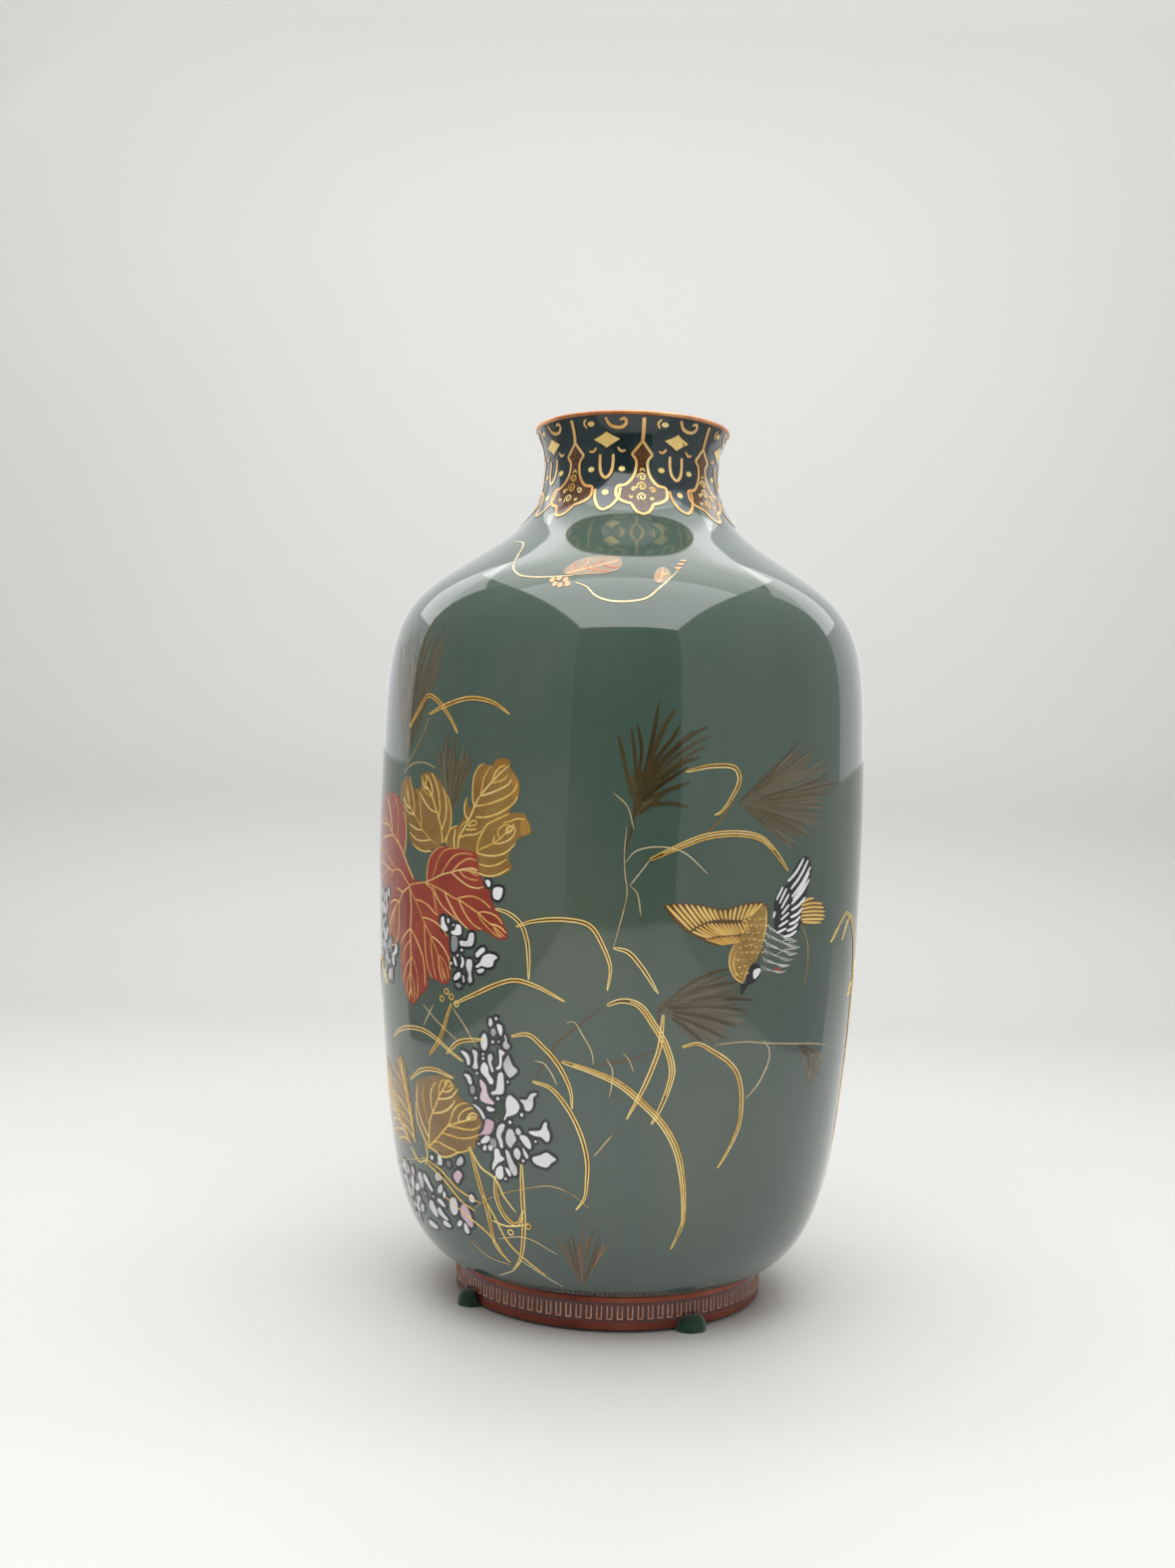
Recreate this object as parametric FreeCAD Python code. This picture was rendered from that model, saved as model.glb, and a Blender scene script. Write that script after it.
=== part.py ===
"""Cloisonne vase, millimetres, +Z up, origin at the centre of the surface that it stands on.

A copper body raised in two shells and a neck carries coloured enamel between soldered wires.
Places on the wall are given as (azimuth, height): the azimuth is in degrees from -Y towards +X,
and the height is in millimetres above the lower edge of the foot ring.
"""
import FreeCAD, Part
import math
import os

V = FreeCAD.Vector
UP = V(0, 0, 1)

# Driving dimensions
HEIGHT = 300.0            # foot edge to lip
PAD_LIFT = 1.2            # the pads hold the foot edge this far off the table
ENAMEL = 0.8              # outer enamel, from the copper to the polished surface
COPPER = 1.0              # sheet thickness of body, neck and base
COUNTER = 0.4             # enamel on the inside and under the base
WIRE = 0.5                # width of a wire seen on the polished surface
SEAM_SHOULDER = 168.0     # solder seam at the widest place
SEAM_NECK = 262.0         # solder seam below the neck
NECK_BAND = 273.0         # lower edge of the dark neck enamel
RAISE = 0.15              # how far cells stand on the ground enamel
WIRE_RAISE = 0.2          # how far their wires stand on it
RIM_HEIGHT = 1.4          # metal rim round the mouth
RIM_PROUD = 0.25
RIM_ROUNDING = 0.56       # radius of the rim's rounded edges

# Outer surface, as (height, radius)
PROFILE = [
    (10.2, 53.0), (13.5, 59.8), (20.0, 66.3), (30.0, 71.6), (46.0, 75.9), (70.0, 79.2),
    (100.0, 82.0), (135.0, 83.8), (168.0, 84.3), (198.0, 83.8), (214.0, 82.7), (226.0, 80.2),
    (237.0, 74.4), (247.0, 63.0), (257.0, 48.1), (265.0, 38.2), (272.0, 33.3), (279.0, 31.1),
    (286.0, 30.5), (293.0, 31.5), (300.0, 34.4),
]
SURFACE_SAMPLES = 30      # points that an offset surface is drawn through
PATCH_SAMPLES = 8
PATCH_MARGIN = 4.0        # how far a patch of wall reaches past the cell that is cut from it
PRISM_START = 20.0        # the prisms that cut cells out of the wall start this far from the axis
PRISM_LENGTH = 80.0
WIDEST = 120.0            # more than any radius of the vase
SMALLEST = 0.01           # solids under this volume are slivers
BISECTIONS = 40

# Foot ring
FOOT_RADIUS = 53.3
FOOT_WALL = 2.0
FOOT_HEIGHT = 12.0        # top of its inner edge, where the body wall is soldered to it
FOOT_BAND = (2.4, 8.8)    # lower and upper edge of the enamel band
FOOT_BAND_DEPTH = 0.7
FRET_COUNT = 100
FRET_SIZE = (1.9, 4.4)    # width and height of one U
FRET_WIRE = 0.4
FRET_PROUD = 0.1
BASE_HEIGHT = 8.0         # underside of the base plate

# Pads
PAD_AZIMUTHS = (-60.0, 30.0, 120.0, 210.0)
PAD_RADIUS = 5.5
PAD_HEIGHT = 5.0
PAD_SIDE = 3.25           # height of a pad's upright side, under its rounded top
PAD_SHOULDER = (4.0, 4.5)  # radius and height of a point on the rounded top

# Neck lappets: half outline as (azimuth from the centre line, height)
LAPPET_COUNT = 8
LAPPET_FIRST = 4.0
LAPPET_HALF = [
    (0.0, 290.0), (6.5, 286.5), (4.5, 283.5), (5.5, 280.0), (8.5, 277.0), (13.0, 275.0),
    (17.0, 274.5), (17.5, 272.0), (15.0, 270.0), (8.0, 269.0), (7.0, 267.0), (0.0, 264.5),
]
TONGUE = [(-4.6, NECK_BAND), (4.6, NECK_BAND), (3.2, 268.6), (0.0, 266.5), (-3.2, 268.6)]

# Leaves, bird and shoulder spray: outlines of the cells
RED_LEAF = [
    (-50, 141), (-47, 148), (-42, 150.5), (-35, 150), (-30, 143), (-26, 129), (-30, 126.5),
    (-38, 130), (-43, 134), (-41, 124), (-41, 112), (-45, 112.5), (-49, 120), (-49, 107),
    (-53, 102), (-57, 103), (-59, 111), (-60, 120), (-65, 119.5), (-68, 128), (-70, 137),
    (-78, 165), (-74, 171), (-66, 168), (-62, 160), (-58, 150),
]
GOLD_LEAF = [
    (-57, 157), (-60, 171), (-57, 175), (-52.5, 168), (-51, 176), (-45, 177), (-41, 172),
    (-39.5, 165), (-36, 173), (-31, 181), (-25, 181), (-23, 175), (-24, 167), (-20, 165),
    (-20, 160), (-25, 156), (-34, 154.5), (-43, 155), (-50, 153.5),
]
LOWER_LEAVES = [
    [(-51, 55.5), (-55, 66), (-53, 77), (-48, 79.5), (-42, 81), (-40, 76), (-34, 72.5),
     (-32, 68), (-34, 60), (-38, 57), (-45, 54.5)],
    [(-58, 56), (-60, 70), (-62, 84), (-68, 72), (-65, 58)],
]
BIRD_WING = [
    (8.5, 139.5), (20, 137), (30, 140), (33, 138.5), (31, 131.5), (24, 127.5), (16, 130), (12, 133.5),
]
BIRD_BODY = [(31, 128.5), (26, 124.5), (24, 118), (27, 115.5), (30, 119), (33, 126)]
BIRD_WHITE_WING = [(34.5, 143), (42, 154), (44.5, 152), (43.5, 144), (41, 131), (36, 132)]
BIRD_TAIL = [(44, 133), (45.5, 139.5), (51, 140.5), (50, 134)]
SHOULDER_LEAF = [(-17, 242), (-12, 245.5), (-3, 246.5), (-7, 243.5), (-12, 241.5)]

# Grass blades: centre lines, and the width at the middle
BLADES = [
    [(-12.5, 90.5), (-6, 88), (0, 84.5), (5, 79), (10, 72), (13.5, 64), (15.5, 54), (16.5, 44),
     (14.5, 31.5)],
    [(-3, 108.5), (0, 110), (3.5, 109), (7, 103), (10, 96), (11.2, 89), (10.8, 83)],
    [(13.5, 96), (17, 97), (20, 95), (25, 90.5), (27.5, 86), (28.8, 78), (28.5, 70), (26, 62),
     (24, 57.5)],
    [(-22, 130.5), (-19, 133), (-12, 134), (-7, 132.5), (-4, 126), (-2.5, 120), (-3, 114)],
    [(5, 153), (10, 156.5), (17, 160.5), (25, 161.5), (30, 160), (34, 155.5), (37, 150)],
    [(12, 180), (18, 182), (23, 181.5), (24, 178), (22.5, 173), (20, 168)],
    [(-49, 196), (-43, 199), (-36, 201), (-30, 199.5), (-26, 196)],
]
BLADE_WIDTH = 2.2
BLADE_TIP = 0.7

# Flower heads: (azimuth of the middle, height of the top row, petals in each row going down)
FLOWERS = [
    (-30.0, 100.0, (1, 2, 3, 3, 4, 3)),
    (-24.0, 71.0, (4, 5, 5, 4, 3, 2)),
    (-47.5, 49.0, (4, 4, 5, 4, 3, 2)),
    (-35.0, 131.0, (2, 2)),
]
PETAL_SIZE = (4.4, 2.8)
PETAL_PITCH = (5.6, 4.0)


def outer_curve():
    """The outer surface's section, as a curve in the XZ plane that rises from the foot."""
    curve = Part.BSplineCurve()
    curve.interpolate([V(r, 0, z + PAD_LIFT) for z, r in PROFILE])
    return curve


OUTER = outer_curve()


def parameter_at(height):
    """Where the outer curve reaches a height above the foot edge."""
    low, high = OUTER.FirstParameter, OUTER.LastParameter
    for _ in range(BISECTIONS):
        middle = (low + high) / 2
        if OUTER.value(middle).z < height + PAD_LIFT:
            low = middle
        else:
            high = middle
    return low


def radius_at(height):
    """Outer radius at a height above the foot edge."""
    return OUTER.value(parameter_at(height)).x


def section_edge(depth, start=None, end=None, samples=SURFACE_SAMPLES):
    """The section that lies this deep under the outer surface, over a stretch of the outer curve."""
    start = OUTER.FirstParameter if start is None else start
    end = OUTER.LastParameter if end is None else end
    points = []
    for i in range(samples + 1):
        u = start + (end - start) * i / samples
        tangent = OUTER.tangent(u)[0]
        points.append(OUTER.value(u) + V(-tangent.z, 0, tangent.x) * depth)
    curve = Part.BSplineCurve()
    curve.interpolate(points)
    return curve.toShape()


def wall_face(out, inn):
    """The planar face between two section edges."""
    foot = Part.makeLine(out.Vertexes[0].Point, inn.Vertexes[0].Point)
    lip = Part.makeLine(out.Vertexes[-1].Point, inn.Vertexes[-1].Point)
    return Part.Face(Part.Wire(Part.__sortEdges__([out, lip, inn, foot])))


def shell(outside, inside):
    """The wall between two depths under the outer surface, all the way round."""
    face = wall_face(section_edge(outside), section_edge(inside))
    return face.revolve(V(0, 0, 0), UP, 360)


def patch(places, raised):
    """A thin piece of wall on the outer surface, large enough for a cell at these places."""
    azimuths, heights = [a for a, z in places], [z for a, z in places]
    start = parameter_at(min(heights) - PATCH_MARGIN)
    end = parameter_at(max(heights) + PATCH_MARGIN)
    out = section_edge(-raised, start, end, PATCH_SAMPLES)
    inn = section_edge(0.0, start, end, PATCH_SAMPLES)
    face = wall_face(out, inn)
    spare = math.degrees(PATCH_MARGIN / radius_at(sum(heights) / len(heights)))
    first = min(azimuths) - spare
    face.rotate(V(0, 0, 0), UP, first - 90.0)
    return face.revolve(V(0, 0, 0), UP, max(azimuths) + spare - first)


def slab(low, high):
    """Everything between two heights above the foot edge."""
    return Part.makeCylinder(WIDEST, high - low, V(0, 0, low + PAD_LIFT))


def ring(inner, outer, low, high):
    """A plain ring with its heights above the foot edge."""
    outline = [(inner, low), (outer, low), (outer, high), (inner, high), (inner, low)]
    return spun([V(r, 0, z + PAD_LIFT) for r, z in outline])


def spun(points):
    return Part.Face(Part.makePolygon(points)).revolve(V(0, 0, 0), UP, 360)


def solids(shape):
    """The solids of a Boolean result, as one compound."""
    return Part.makeCompound([s for s in shape.Solids if s.Volume > SMALLEST])


def prism(outline, grow=0.0):
    """A radial prism through an outline on the wall, grown by a margin."""
    azimuth = sum(a for a, z in outline) / len(outline)
    turn = math.radians(azimuth)
    across, out = V(math.cos(turn), math.sin(turn), 0), V(math.sin(turn), -math.cos(turn), 0)
    flat = [(radius_at(z) * math.sin(math.radians(a - azimuth)), z + PAD_LIFT) for a, z in outline]
    area = sum(x * w - u * y for (x, y), (u, w) in zip(flat, flat[1:] + flat[:1]))
    if area < 0:
        flat.reverse()
    points = [across * x + V(0, 0, z) + out * PRISM_START for x, z in flat]
    wire = Part.makePolygon(points + points[:1])
    if grow:
        wire = wire.makeOffset2D(grow)
    return positive(Part.Face(wire).extrude(out * PRISM_LENGTH))


def positive(solid):
    """The same solid with its faces turned outwards."""
    return solid.reversed() if solid.Volume < 0 else solid


def petal_prism(azimuth, height, grow=0.0):
    """An elliptic radial prism for one petal."""
    turn = math.radians(azimuth)
    out = V(math.sin(turn), -math.cos(turn), 0)
    across = V(math.cos(turn), math.sin(turn), 0)
    centre = out * PRISM_START + V(0, 0, height + PAD_LIFT)
    half_wide, half_high = PETAL_SIZE[0] / 2 + grow, PETAL_SIZE[1] / 2 + grow
    ellipse = Part.Ellipse(centre + across * half_wide, centre + UP * half_high, centre)
    return positive(Part.Face(Part.Wire(ellipse.toShape())).extrude(out * PRISM_LENGTH))


def petal_places():
    """Azimuth and height of every petal."""
    places = []
    for middle, top, rows in FLOWERS:
        for row, count in enumerate(rows):
            height = top - row * PETAL_PITCH[1]
            step = math.degrees(PETAL_PITCH[0] / radius_at(height))
            for i in range(count):
                places.append((middle + (i - (count - 1) / 2) * step, height))
    return places


def blade_outline(line):
    """The outline of a tapered blade along its centre line."""
    left, right = [], []
    last = len(line) - 1
    for i, (a, z) in enumerate(line):
        before, after = line[max(i - 1, 0)], line[min(i + 1, last)]
        scale = math.radians(1) * radius_at(z)
        run, rise = (after[0] - before[0]) * scale, after[1] - before[1]
        length = math.hypot(run, rise)
        half = (BLADE_TIP + (BLADE_WIDTH - BLADE_TIP) * math.sin(math.pi * i / last)) / 2
        side_a, side_z = -rise / length * half / scale, run / length * half
        left.append((a + side_a, z + side_z))
        right.append((a - side_a, z - side_z))
    return left + right[::-1]


def lappet_outlines():
    for i in range(LAPPET_COUNT):
        centre = LAPPET_FIRST + i * 360.0 / LAPPET_COUNT
        right = [(centre + a, z) for a, z in LAPPET_HALF]
        left = [(centre - a, z) for a, z in LAPPET_HALF[1:-1]]
        yield right + left[::-1]


def tongue_outlines():
    for i in range(LAPPET_COUNT):
        centre = LAPPET_FIRST + (i + 0.5) * 360.0 / LAPPET_COUNT
        yield [(centre + a, z) for a, z in TONGUE]


def cell_and_wire(places, inner, outer):
    """One enamel cell and the wire that runs round it, both on the outer surface."""
    cell = patch(places, RAISE).common(inner)
    wire = patch(places, WIRE_RAISE).common(outer.cut(inner))
    return cell.Solids, wire.Solids


def cells_and_wires(outlines):
    cells, wires = [], []
    for outline in outlines:
        cell, wire = cell_and_wire(outline, prism(outline), prism(outline, WIRE))
        cells += cell
        wires += wire
    return Part.makeCompound(cells), Part.makeCompound(wires)


def flower_cells():
    cells, wires = [], []
    for a, z in petal_places():
        cell, wire = cell_and_wire([(a, z)], petal_prism(a, z), petal_prism(a, z, WIRE))
        cells += cell
        wires += wire
    return Part.makeCompound(cells), Part.makeCompound(wires)


def foot_parts(parts):
    """The foot ring with its enamel band and the key fret of U wires."""
    inner = FOOT_RADIUS - FOOT_WALL
    wall = shell(0.0, ENAMEL + COPPER + COUNTER)
    blank = ring(inner, FOOT_RADIUS, 0.0, FOOT_HEIGHT).cut(wall)
    low, high = FOOT_BAND
    band = ring(FOOT_RADIUS - FOOT_BAND_DEPTH, FOOT_RADIUS, low, high)
    parts["foot_ring"] = solids(blank.cut(band))
    parts["foot_enamel_band"] = band
    wide, tall = FRET_SIZE
    bottom = PAD_LIFT + (low + high - tall) / 2
    half, inside = wide / 2, wide / 2 - FRET_WIRE
    outline = [
        (-half, 0), (half, 0), (half, tall), (inside, tall), (inside, FRET_WIRE),
        (-inside, FRET_WIRE), (-inside, tall), (-half, tall), (-half, 0),
    ]
    face = Part.Face(Part.makePolygon([V(x, -FOOT_RADIUS, bottom + z) for x, z in outline]))
    one = face.extrude(V(0, -FRET_PROUD, 0))
    fret = []
    for i in range(FRET_COUNT):
        copy = one.copy()
        copy.rotate(V(0, 0, 0), UP, 360.0 * i / FRET_COUNT)
        fret.append(copy)
    parts["foot_fret_wires"] = Part.makeCompound(fret)


def base_parts(parts):
    inner = FOOT_RADIUS - FOOT_WALL
    parts["base_plate"] = ring(0.0, inner, BASE_HEIGHT, BASE_HEIGHT + COPPER)
    parts["base_counter_enamel"] = ring(0.0, inner, BASE_HEIGHT - COUNTER, BASE_HEIGHT)
    top = BASE_HEIGHT + COPPER
    parts["inner_floor_enamel"] = ring(0.0, inner, top, top + COUNTER)


def copper_parts(parts):
    wall = shell(ENAMEL, ENAMEL + COPPER)
    parts["copper_body_lower"] = solids(wall.common(slab(0.0, SEAM_SHOULDER)))
    parts["copper_body_shoulder"] = solids(wall.common(slab(SEAM_SHOULDER, SEAM_NECK)))
    parts["copper_neck"] = solids(wall.common(slab(SEAM_NECK, HEIGHT - RIM_HEIGHT)))
    counter = shell(ENAMEL + COPPER, ENAMEL + COPPER + COUNTER)
    parts["inner_body_enamel"] = solids(counter.common(slab(0.0, SEAM_NECK)))
    parts["inner_neck_enamel"] = solids(counter.common(slab(SEAM_NECK, HEIGHT - RIM_HEIGHT)))


def mouth_parts(parts):
    """The rim that covers the wall's edge at the mouth, with a rounded outer edge."""
    low, high = HEIGHT - RIM_HEIGHT, HEIGHT
    outer = radius_at(low + RIM_HEIGHT / 2) + RIM_PROUD
    inner = radius_at(low) - ENAMEL - COPPER - COUNTER - RIM_PROUD
    rim = ring(inner, outer, low, high)
    edges = [e for e in rim.Edges if e.Curve.TypeId == "Part::GeomCircle"]
    parts["mouth_rim"] = rim.makeFillet(RIM_ROUNDING, edges)


def decorated_parts(parts):
    """The ground enamel, and each motif's cells and wires on it."""
    ground = shell(0.0, ENAMEL)
    parts["body_ground_enamel"] = solids(ground.common(slab(0.0, NECK_BAND)))
    parts["neck_ground_enamel"] = solids(ground.common(slab(NECK_BAND, HEIGHT - RIM_HEIGHT)))
    groups = {
        "red_leaf": [RED_LEAF],
        "gold_leaf": [GOLD_LEAF],
        "lower_leaves": LOWER_LEAVES,
        "bird_gold_wing": [BIRD_WING],
        "bird_body": [BIRD_BODY],
        "bird_white_wing": [BIRD_WHITE_WING],
        "bird_tail": [BIRD_TAIL],
        "shoulder_leaf": [SHOULDER_LEAF],
        "grass_blades": [blade_outline(b) for b in BLADES],
        "neck_lappets": list(lappet_outlines()),
        "neck_tongues": list(tongue_outlines()),
    }
    for name, outlines in groups.items():
        parts[name + "_enamel"], parts[name + "_wires"] = cells_and_wires(outlines)
    parts["flower_petals_enamel"], parts["flower_petals_wires"] = flower_cells()


def pad_parts(parts):
    """Four soft pads pressed up round the foot edge."""
    foot = ring(FOOT_RADIUS - FOOT_WALL, FOOT_RADIUS, 0.0, PAD_HEIGHT * 2)
    centre = FOOT_RADIUS - FOOT_WALL / 4
    shoulder_radius, shoulder_height = PAD_SHOULDER
    section = Part.Wire([
        Part.makeLine(V(0, 0, 0), V(PAD_RADIUS, 0, 0)),
        Part.makeLine(V(PAD_RADIUS, 0, 0), V(PAD_RADIUS, 0, PAD_SIDE)),
        Part.Arc(V(PAD_RADIUS, 0, PAD_SIDE), V(shoulder_radius, 0, shoulder_height),
                 V(0, 0, PAD_HEIGHT)).toShape(),
        Part.makeLine(V(0, 0, PAD_HEIGHT), V(0, 0, 0)),
    ])
    lump = Part.Face(section).revolve(V(0, 0, 0), UP, 360)
    for number, azimuth in enumerate(PAD_AZIMUTHS, start=1):
        turn = math.radians(azimuth)
        pad = lump.copy()
        pad.translate(V(centre * math.sin(turn), -centre * math.cos(turn), 0))
        recess = Part.makeCylinder(FOOT_RADIUS - FOOT_WALL / 2, PAD_HEIGHT * 2, V(0, 0, PAD_LIFT))
        parts[f"stand_pad_{number}"] = solids(pad.cut(foot).cut(recess))


def build():
    parts = {}
    copper_parts(parts)
    base_parts(parts)
    foot_parts(parts)
    mouth_parts(parts)
    pad_parts(parts)
    decorated_parts(parts)
    return parts


os.makedirs("parts", exist_ok=True)
for node, shape in build().items():
    shape.exportStep(f"parts/{node}.step")
    print(f"{node:28s} solids {len(shape.Solids):4d}  volume {shape.Volume:10.1f}  valid {shape.isValid()}")
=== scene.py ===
import math
import random

import bpy
import numpy as np
from mathutils import Matrix, Vector, geometry


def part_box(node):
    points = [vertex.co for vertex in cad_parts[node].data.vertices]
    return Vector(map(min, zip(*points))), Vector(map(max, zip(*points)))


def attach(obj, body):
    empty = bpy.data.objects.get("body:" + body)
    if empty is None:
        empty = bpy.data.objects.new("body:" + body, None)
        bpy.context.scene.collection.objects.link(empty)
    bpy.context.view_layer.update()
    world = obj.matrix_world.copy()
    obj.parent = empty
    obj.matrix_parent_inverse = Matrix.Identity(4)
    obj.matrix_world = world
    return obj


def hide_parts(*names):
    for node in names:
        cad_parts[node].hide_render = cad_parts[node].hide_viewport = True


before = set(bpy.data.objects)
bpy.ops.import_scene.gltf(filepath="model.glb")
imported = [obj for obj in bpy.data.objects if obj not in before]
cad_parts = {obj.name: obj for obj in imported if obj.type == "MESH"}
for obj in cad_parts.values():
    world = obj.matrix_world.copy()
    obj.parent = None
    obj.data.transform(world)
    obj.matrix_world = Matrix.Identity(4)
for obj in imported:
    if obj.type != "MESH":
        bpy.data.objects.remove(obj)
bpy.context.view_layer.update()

# A cloisonne vase. Places on its wall are (azimuth, height): degrees from -Y towards +X, and
# millimetres above the foot edge.
MM = 0.001
TINY = 1e-6
FOOT_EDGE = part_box("foot_ring")[0].z / MM
BODY_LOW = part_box("body_ground_enamel")[0].z / MM - FOOT_EDGE
NECK_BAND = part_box("neck_ground_enamel")[0].z / MM - FOOT_EDGE
NECK_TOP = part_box("neck_ground_enamel")[1].z / MM - FOOT_EDGE
ENAMEL = 0.8                # thickness of the outer enamel
SUNK = -0.05                # how far the underside of an inlay lies in the ground
TYPICAL_RADIUS = 80.0
SLOPE_STEP = 0.5            # mm between the two samples that a slope is taken from

# Ripples of the hand-raised wall: how deep they are, and the heights over which they fade out.
BROAD_DENTS, HAMMERING, FINE_HAMMERING = 0.030, 0.022, 0.012
FADE_AT_FOOT, FADE_AT_MOUTH = 12.0, 30.0

# Inlays that cross lie at slightly different heights, so that their surfaces don't coincide.
LAYERS, LAYER_STEP = 12, 0.0015
TAPER_SHARE = 0.28          # share of a line's length over which each end tapers
SAMPLES_PER_SPAN = 10       # of a smooth path, between two of its points
ROW_PITCH = 0.87            # of a mesh of nearly equal triangles, in grid steps
EDGE_CLEARANCE = 0.35       # how far inner points keep from the outline, in grid steps
MERGE_DISTANCE = 1e-5
INNER_ROWS = 24
random_source = random.Random(11)


# ---------------------------------------------------------------- the outer surface

def spline_values(t, y, wanted):
    """Values of the natural cubic spline through (t, y)."""
    n = len(t)
    h = np.diff(t)
    a = np.zeros((n, n))
    b = np.zeros(n)
    a[0, 0] = a[-1, -1] = 1.0
    for i in range(1, n - 1):
        a[i, i - 1], a[i, i], a[i, i + 1] = h[i - 1], 2 * (h[i - 1] + h[i]), h[i]
        b[i] = 6 * ((y[i + 1] - y[i]) / h[i] - (y[i] - y[i - 1]) / h[i - 1])
    m = np.linalg.solve(a, b)
    i = np.clip(np.searchsorted(t, wanted) - 1, 0, n - 2)
    left, right = wanted - t[i], t[i + 1] - wanted
    return (
        (m[i] * right**3 + m[i + 1] * left**3) / (6 * h[i])
        + (y[i] / h[i] - m[i] * h[i] / 6) * right
        + (y[i + 1] / h[i] - m[i + 1] * h[i] / 6) * left
    )


def outer_profile(bin_height=2.0, spacing=3.0, samples=3000):
    """Height, radius and slope along the outer surface of the two CAD ground enamels."""
    points = []
    for node in ("body_ground_enamel", "neck_ground_enamel"):
        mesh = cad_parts[node].data
        co = np.empty(len(mesh.vertices) * 3)
        mesh.vertices.foreach_get("co", co)
        co = co.reshape(-1, 3) / MM
        points.append(np.stack([co[:, 2] - FOOT_EDGE, np.hypot(co[:, 0], co[:, 1])], 1))
    points = np.concatenate(points)
    best = {}
    for z, r in points:
        key = int(z // bin_height)
        if key not in best or r > best[key][1]:
            best[key] = (z, r)
    chosen = [best[min(best)]]
    for key in sorted(best)[1:]:
        if math.dist(best[key], chosen[-1]) >= spacing:
            chosen.append(best[key])
    top = max(points, key=lambda p: p[0] * 10 + p[1])
    if math.dist(top, chosen[-1]) < spacing:
        chosen.pop()
    chosen.append(tuple(top))
    chosen = np.array(chosen)
    t = np.concatenate([[0.0], np.cumsum(np.hypot(*np.diff(chosen, axis=0).T))])
    wanted = np.linspace(0, t[-1], samples)
    z = spline_values(t, chosen[:, 0], wanted)
    r = spline_values(t, chosen[:, 1], wanted)
    return wanted, z, r, np.gradient(r, z)


ARC, PROFILE_Z, PROFILE_R, PROFILE_SLOPE = outer_profile()


def ripple(a, z):
    """How far the hand-raised wall stands off the true surface of revolution, in mm."""
    waves = (
        BROAD_DENTS * np.sin(5 * a + z / 17.0) * np.sin(z / 23.0 + 1.0)
        + HAMMERING * np.sin(9 * a - z / 11.0 + 2.0)
        + FINE_HAMMERING * np.sin(17 * a + z / 7.0 + 4.0)
    )
    fade = np.clip((z - BODY_LOW) / FADE_AT_FOOT, 0.0, 1.0)
    return waves * fade * np.clip((NECK_TOP - z) / FADE_AT_MOUTH, 0.0, 1.0)


def wall(a, z, lift=0.0):
    """Points on the outer surface in metres, lifted along its normals, and the normals."""
    a = np.radians(np.asarray(a, float))
    z = np.asarray(z, float)
    r = np.interp(z, PROFILE_Z, PROFILE_R) + ripple(a, z)
    turn = SLOPE_STEP / TYPICAL_RADIUS
    slope_z = np.interp(z, PROFILE_Z, PROFILE_SLOPE)
    slope_z = slope_z + (ripple(a, z + SLOPE_STEP) - ripple(a, z - SLOPE_STEP)) / (2 * SLOPE_STEP)
    slope_a = (ripple(a + turn, z) - ripple(a - turn, z)) / (2 * turn * r)
    out = np.stack([np.sin(a), -np.cos(a), np.zeros_like(a)], -1)
    side = np.stack([np.cos(a), np.sin(a), np.zeros_like(a)], -1)
    up = np.zeros_like(out)
    up[..., 2] = 1.0
    n = out - side * slope_a[..., None] - up * slope_z[..., None]
    n /= np.linalg.norm(n, axis=-1, keepdims=True)
    p = out * r[..., None] + up * (z + FOOT_EDGE)[..., None]
    return (p + n * np.asarray(lift)[..., None]) * MM, n


def mm_per_degree(z):
    """Millimetres along the wall in one degree of azimuth at a height."""
    return math.radians(1) * float(np.interp(z, PROFILE_Z, PROFILE_R))


# ---------------------------------------------------------------- drawing in the flat

def even(points, step):
    """The same path with points an even distance apart."""
    points = np.asarray(points, float)
    t = np.concatenate([[0.0], np.cumsum(np.hypot(*np.diff(points, axis=0).T))])
    count = max(2, int(round(t[-1] / step)) + 1)
    wanted = np.linspace(0, t[-1], count)
    return np.stack([np.interp(wanted, t, points[:, i]) for i in (0, 1)], 1)


def curve(points, closed=False, step=0.9):
    """A smooth path through the points (centripetal Catmull-Rom), evenly divided."""
    p = [np.asarray(q, float) for q in points]
    if len(p) < 3:
        return even(p, step)
    p = [p[-1]] + p + [p[0], p[1]] if closed else [2 * p[0] - p[1]] + p + [2 * p[-1] - p[-2]]
    out = []
    for p0, p1, p2, p3 in zip(p, p[1:], p[2:], p[3:]):
        t0 = 0.0
        t1 = t0 + max(np.linalg.norm(p1 - p0), TINY) ** 0.5
        t2 = t1 + max(np.linalg.norm(p2 - p1), TINY) ** 0.5
        t3 = t2 + max(np.linalg.norm(p3 - p2), TINY) ** 0.5
        for t in np.linspace(t1, t2, SAMPLES_PER_SPAN, endpoint=False):
            a1 = (t1 - t) / (t1 - t0) * p0 + (t - t0) / (t1 - t0) * p1
            a2 = (t2 - t) / (t2 - t1) * p1 + (t - t1) / (t2 - t1) * p2
            a3 = (t3 - t) / (t3 - t2) * p2 + (t - t2) / (t3 - t2) * p3
            b1 = (t2 - t) / (t2 - t0) * a1 + (t - t0) / (t2 - t0) * a2
            b2 = (t3 - t) / (t3 - t1) * a2 + (t - t1) / (t3 - t1) * a3
            out.append((t2 - t) / (t2 - t1) * b1 + (t - t1) / (t2 - t1) * b2)
    out.append(p[-2])
    return even(out, step)


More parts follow.
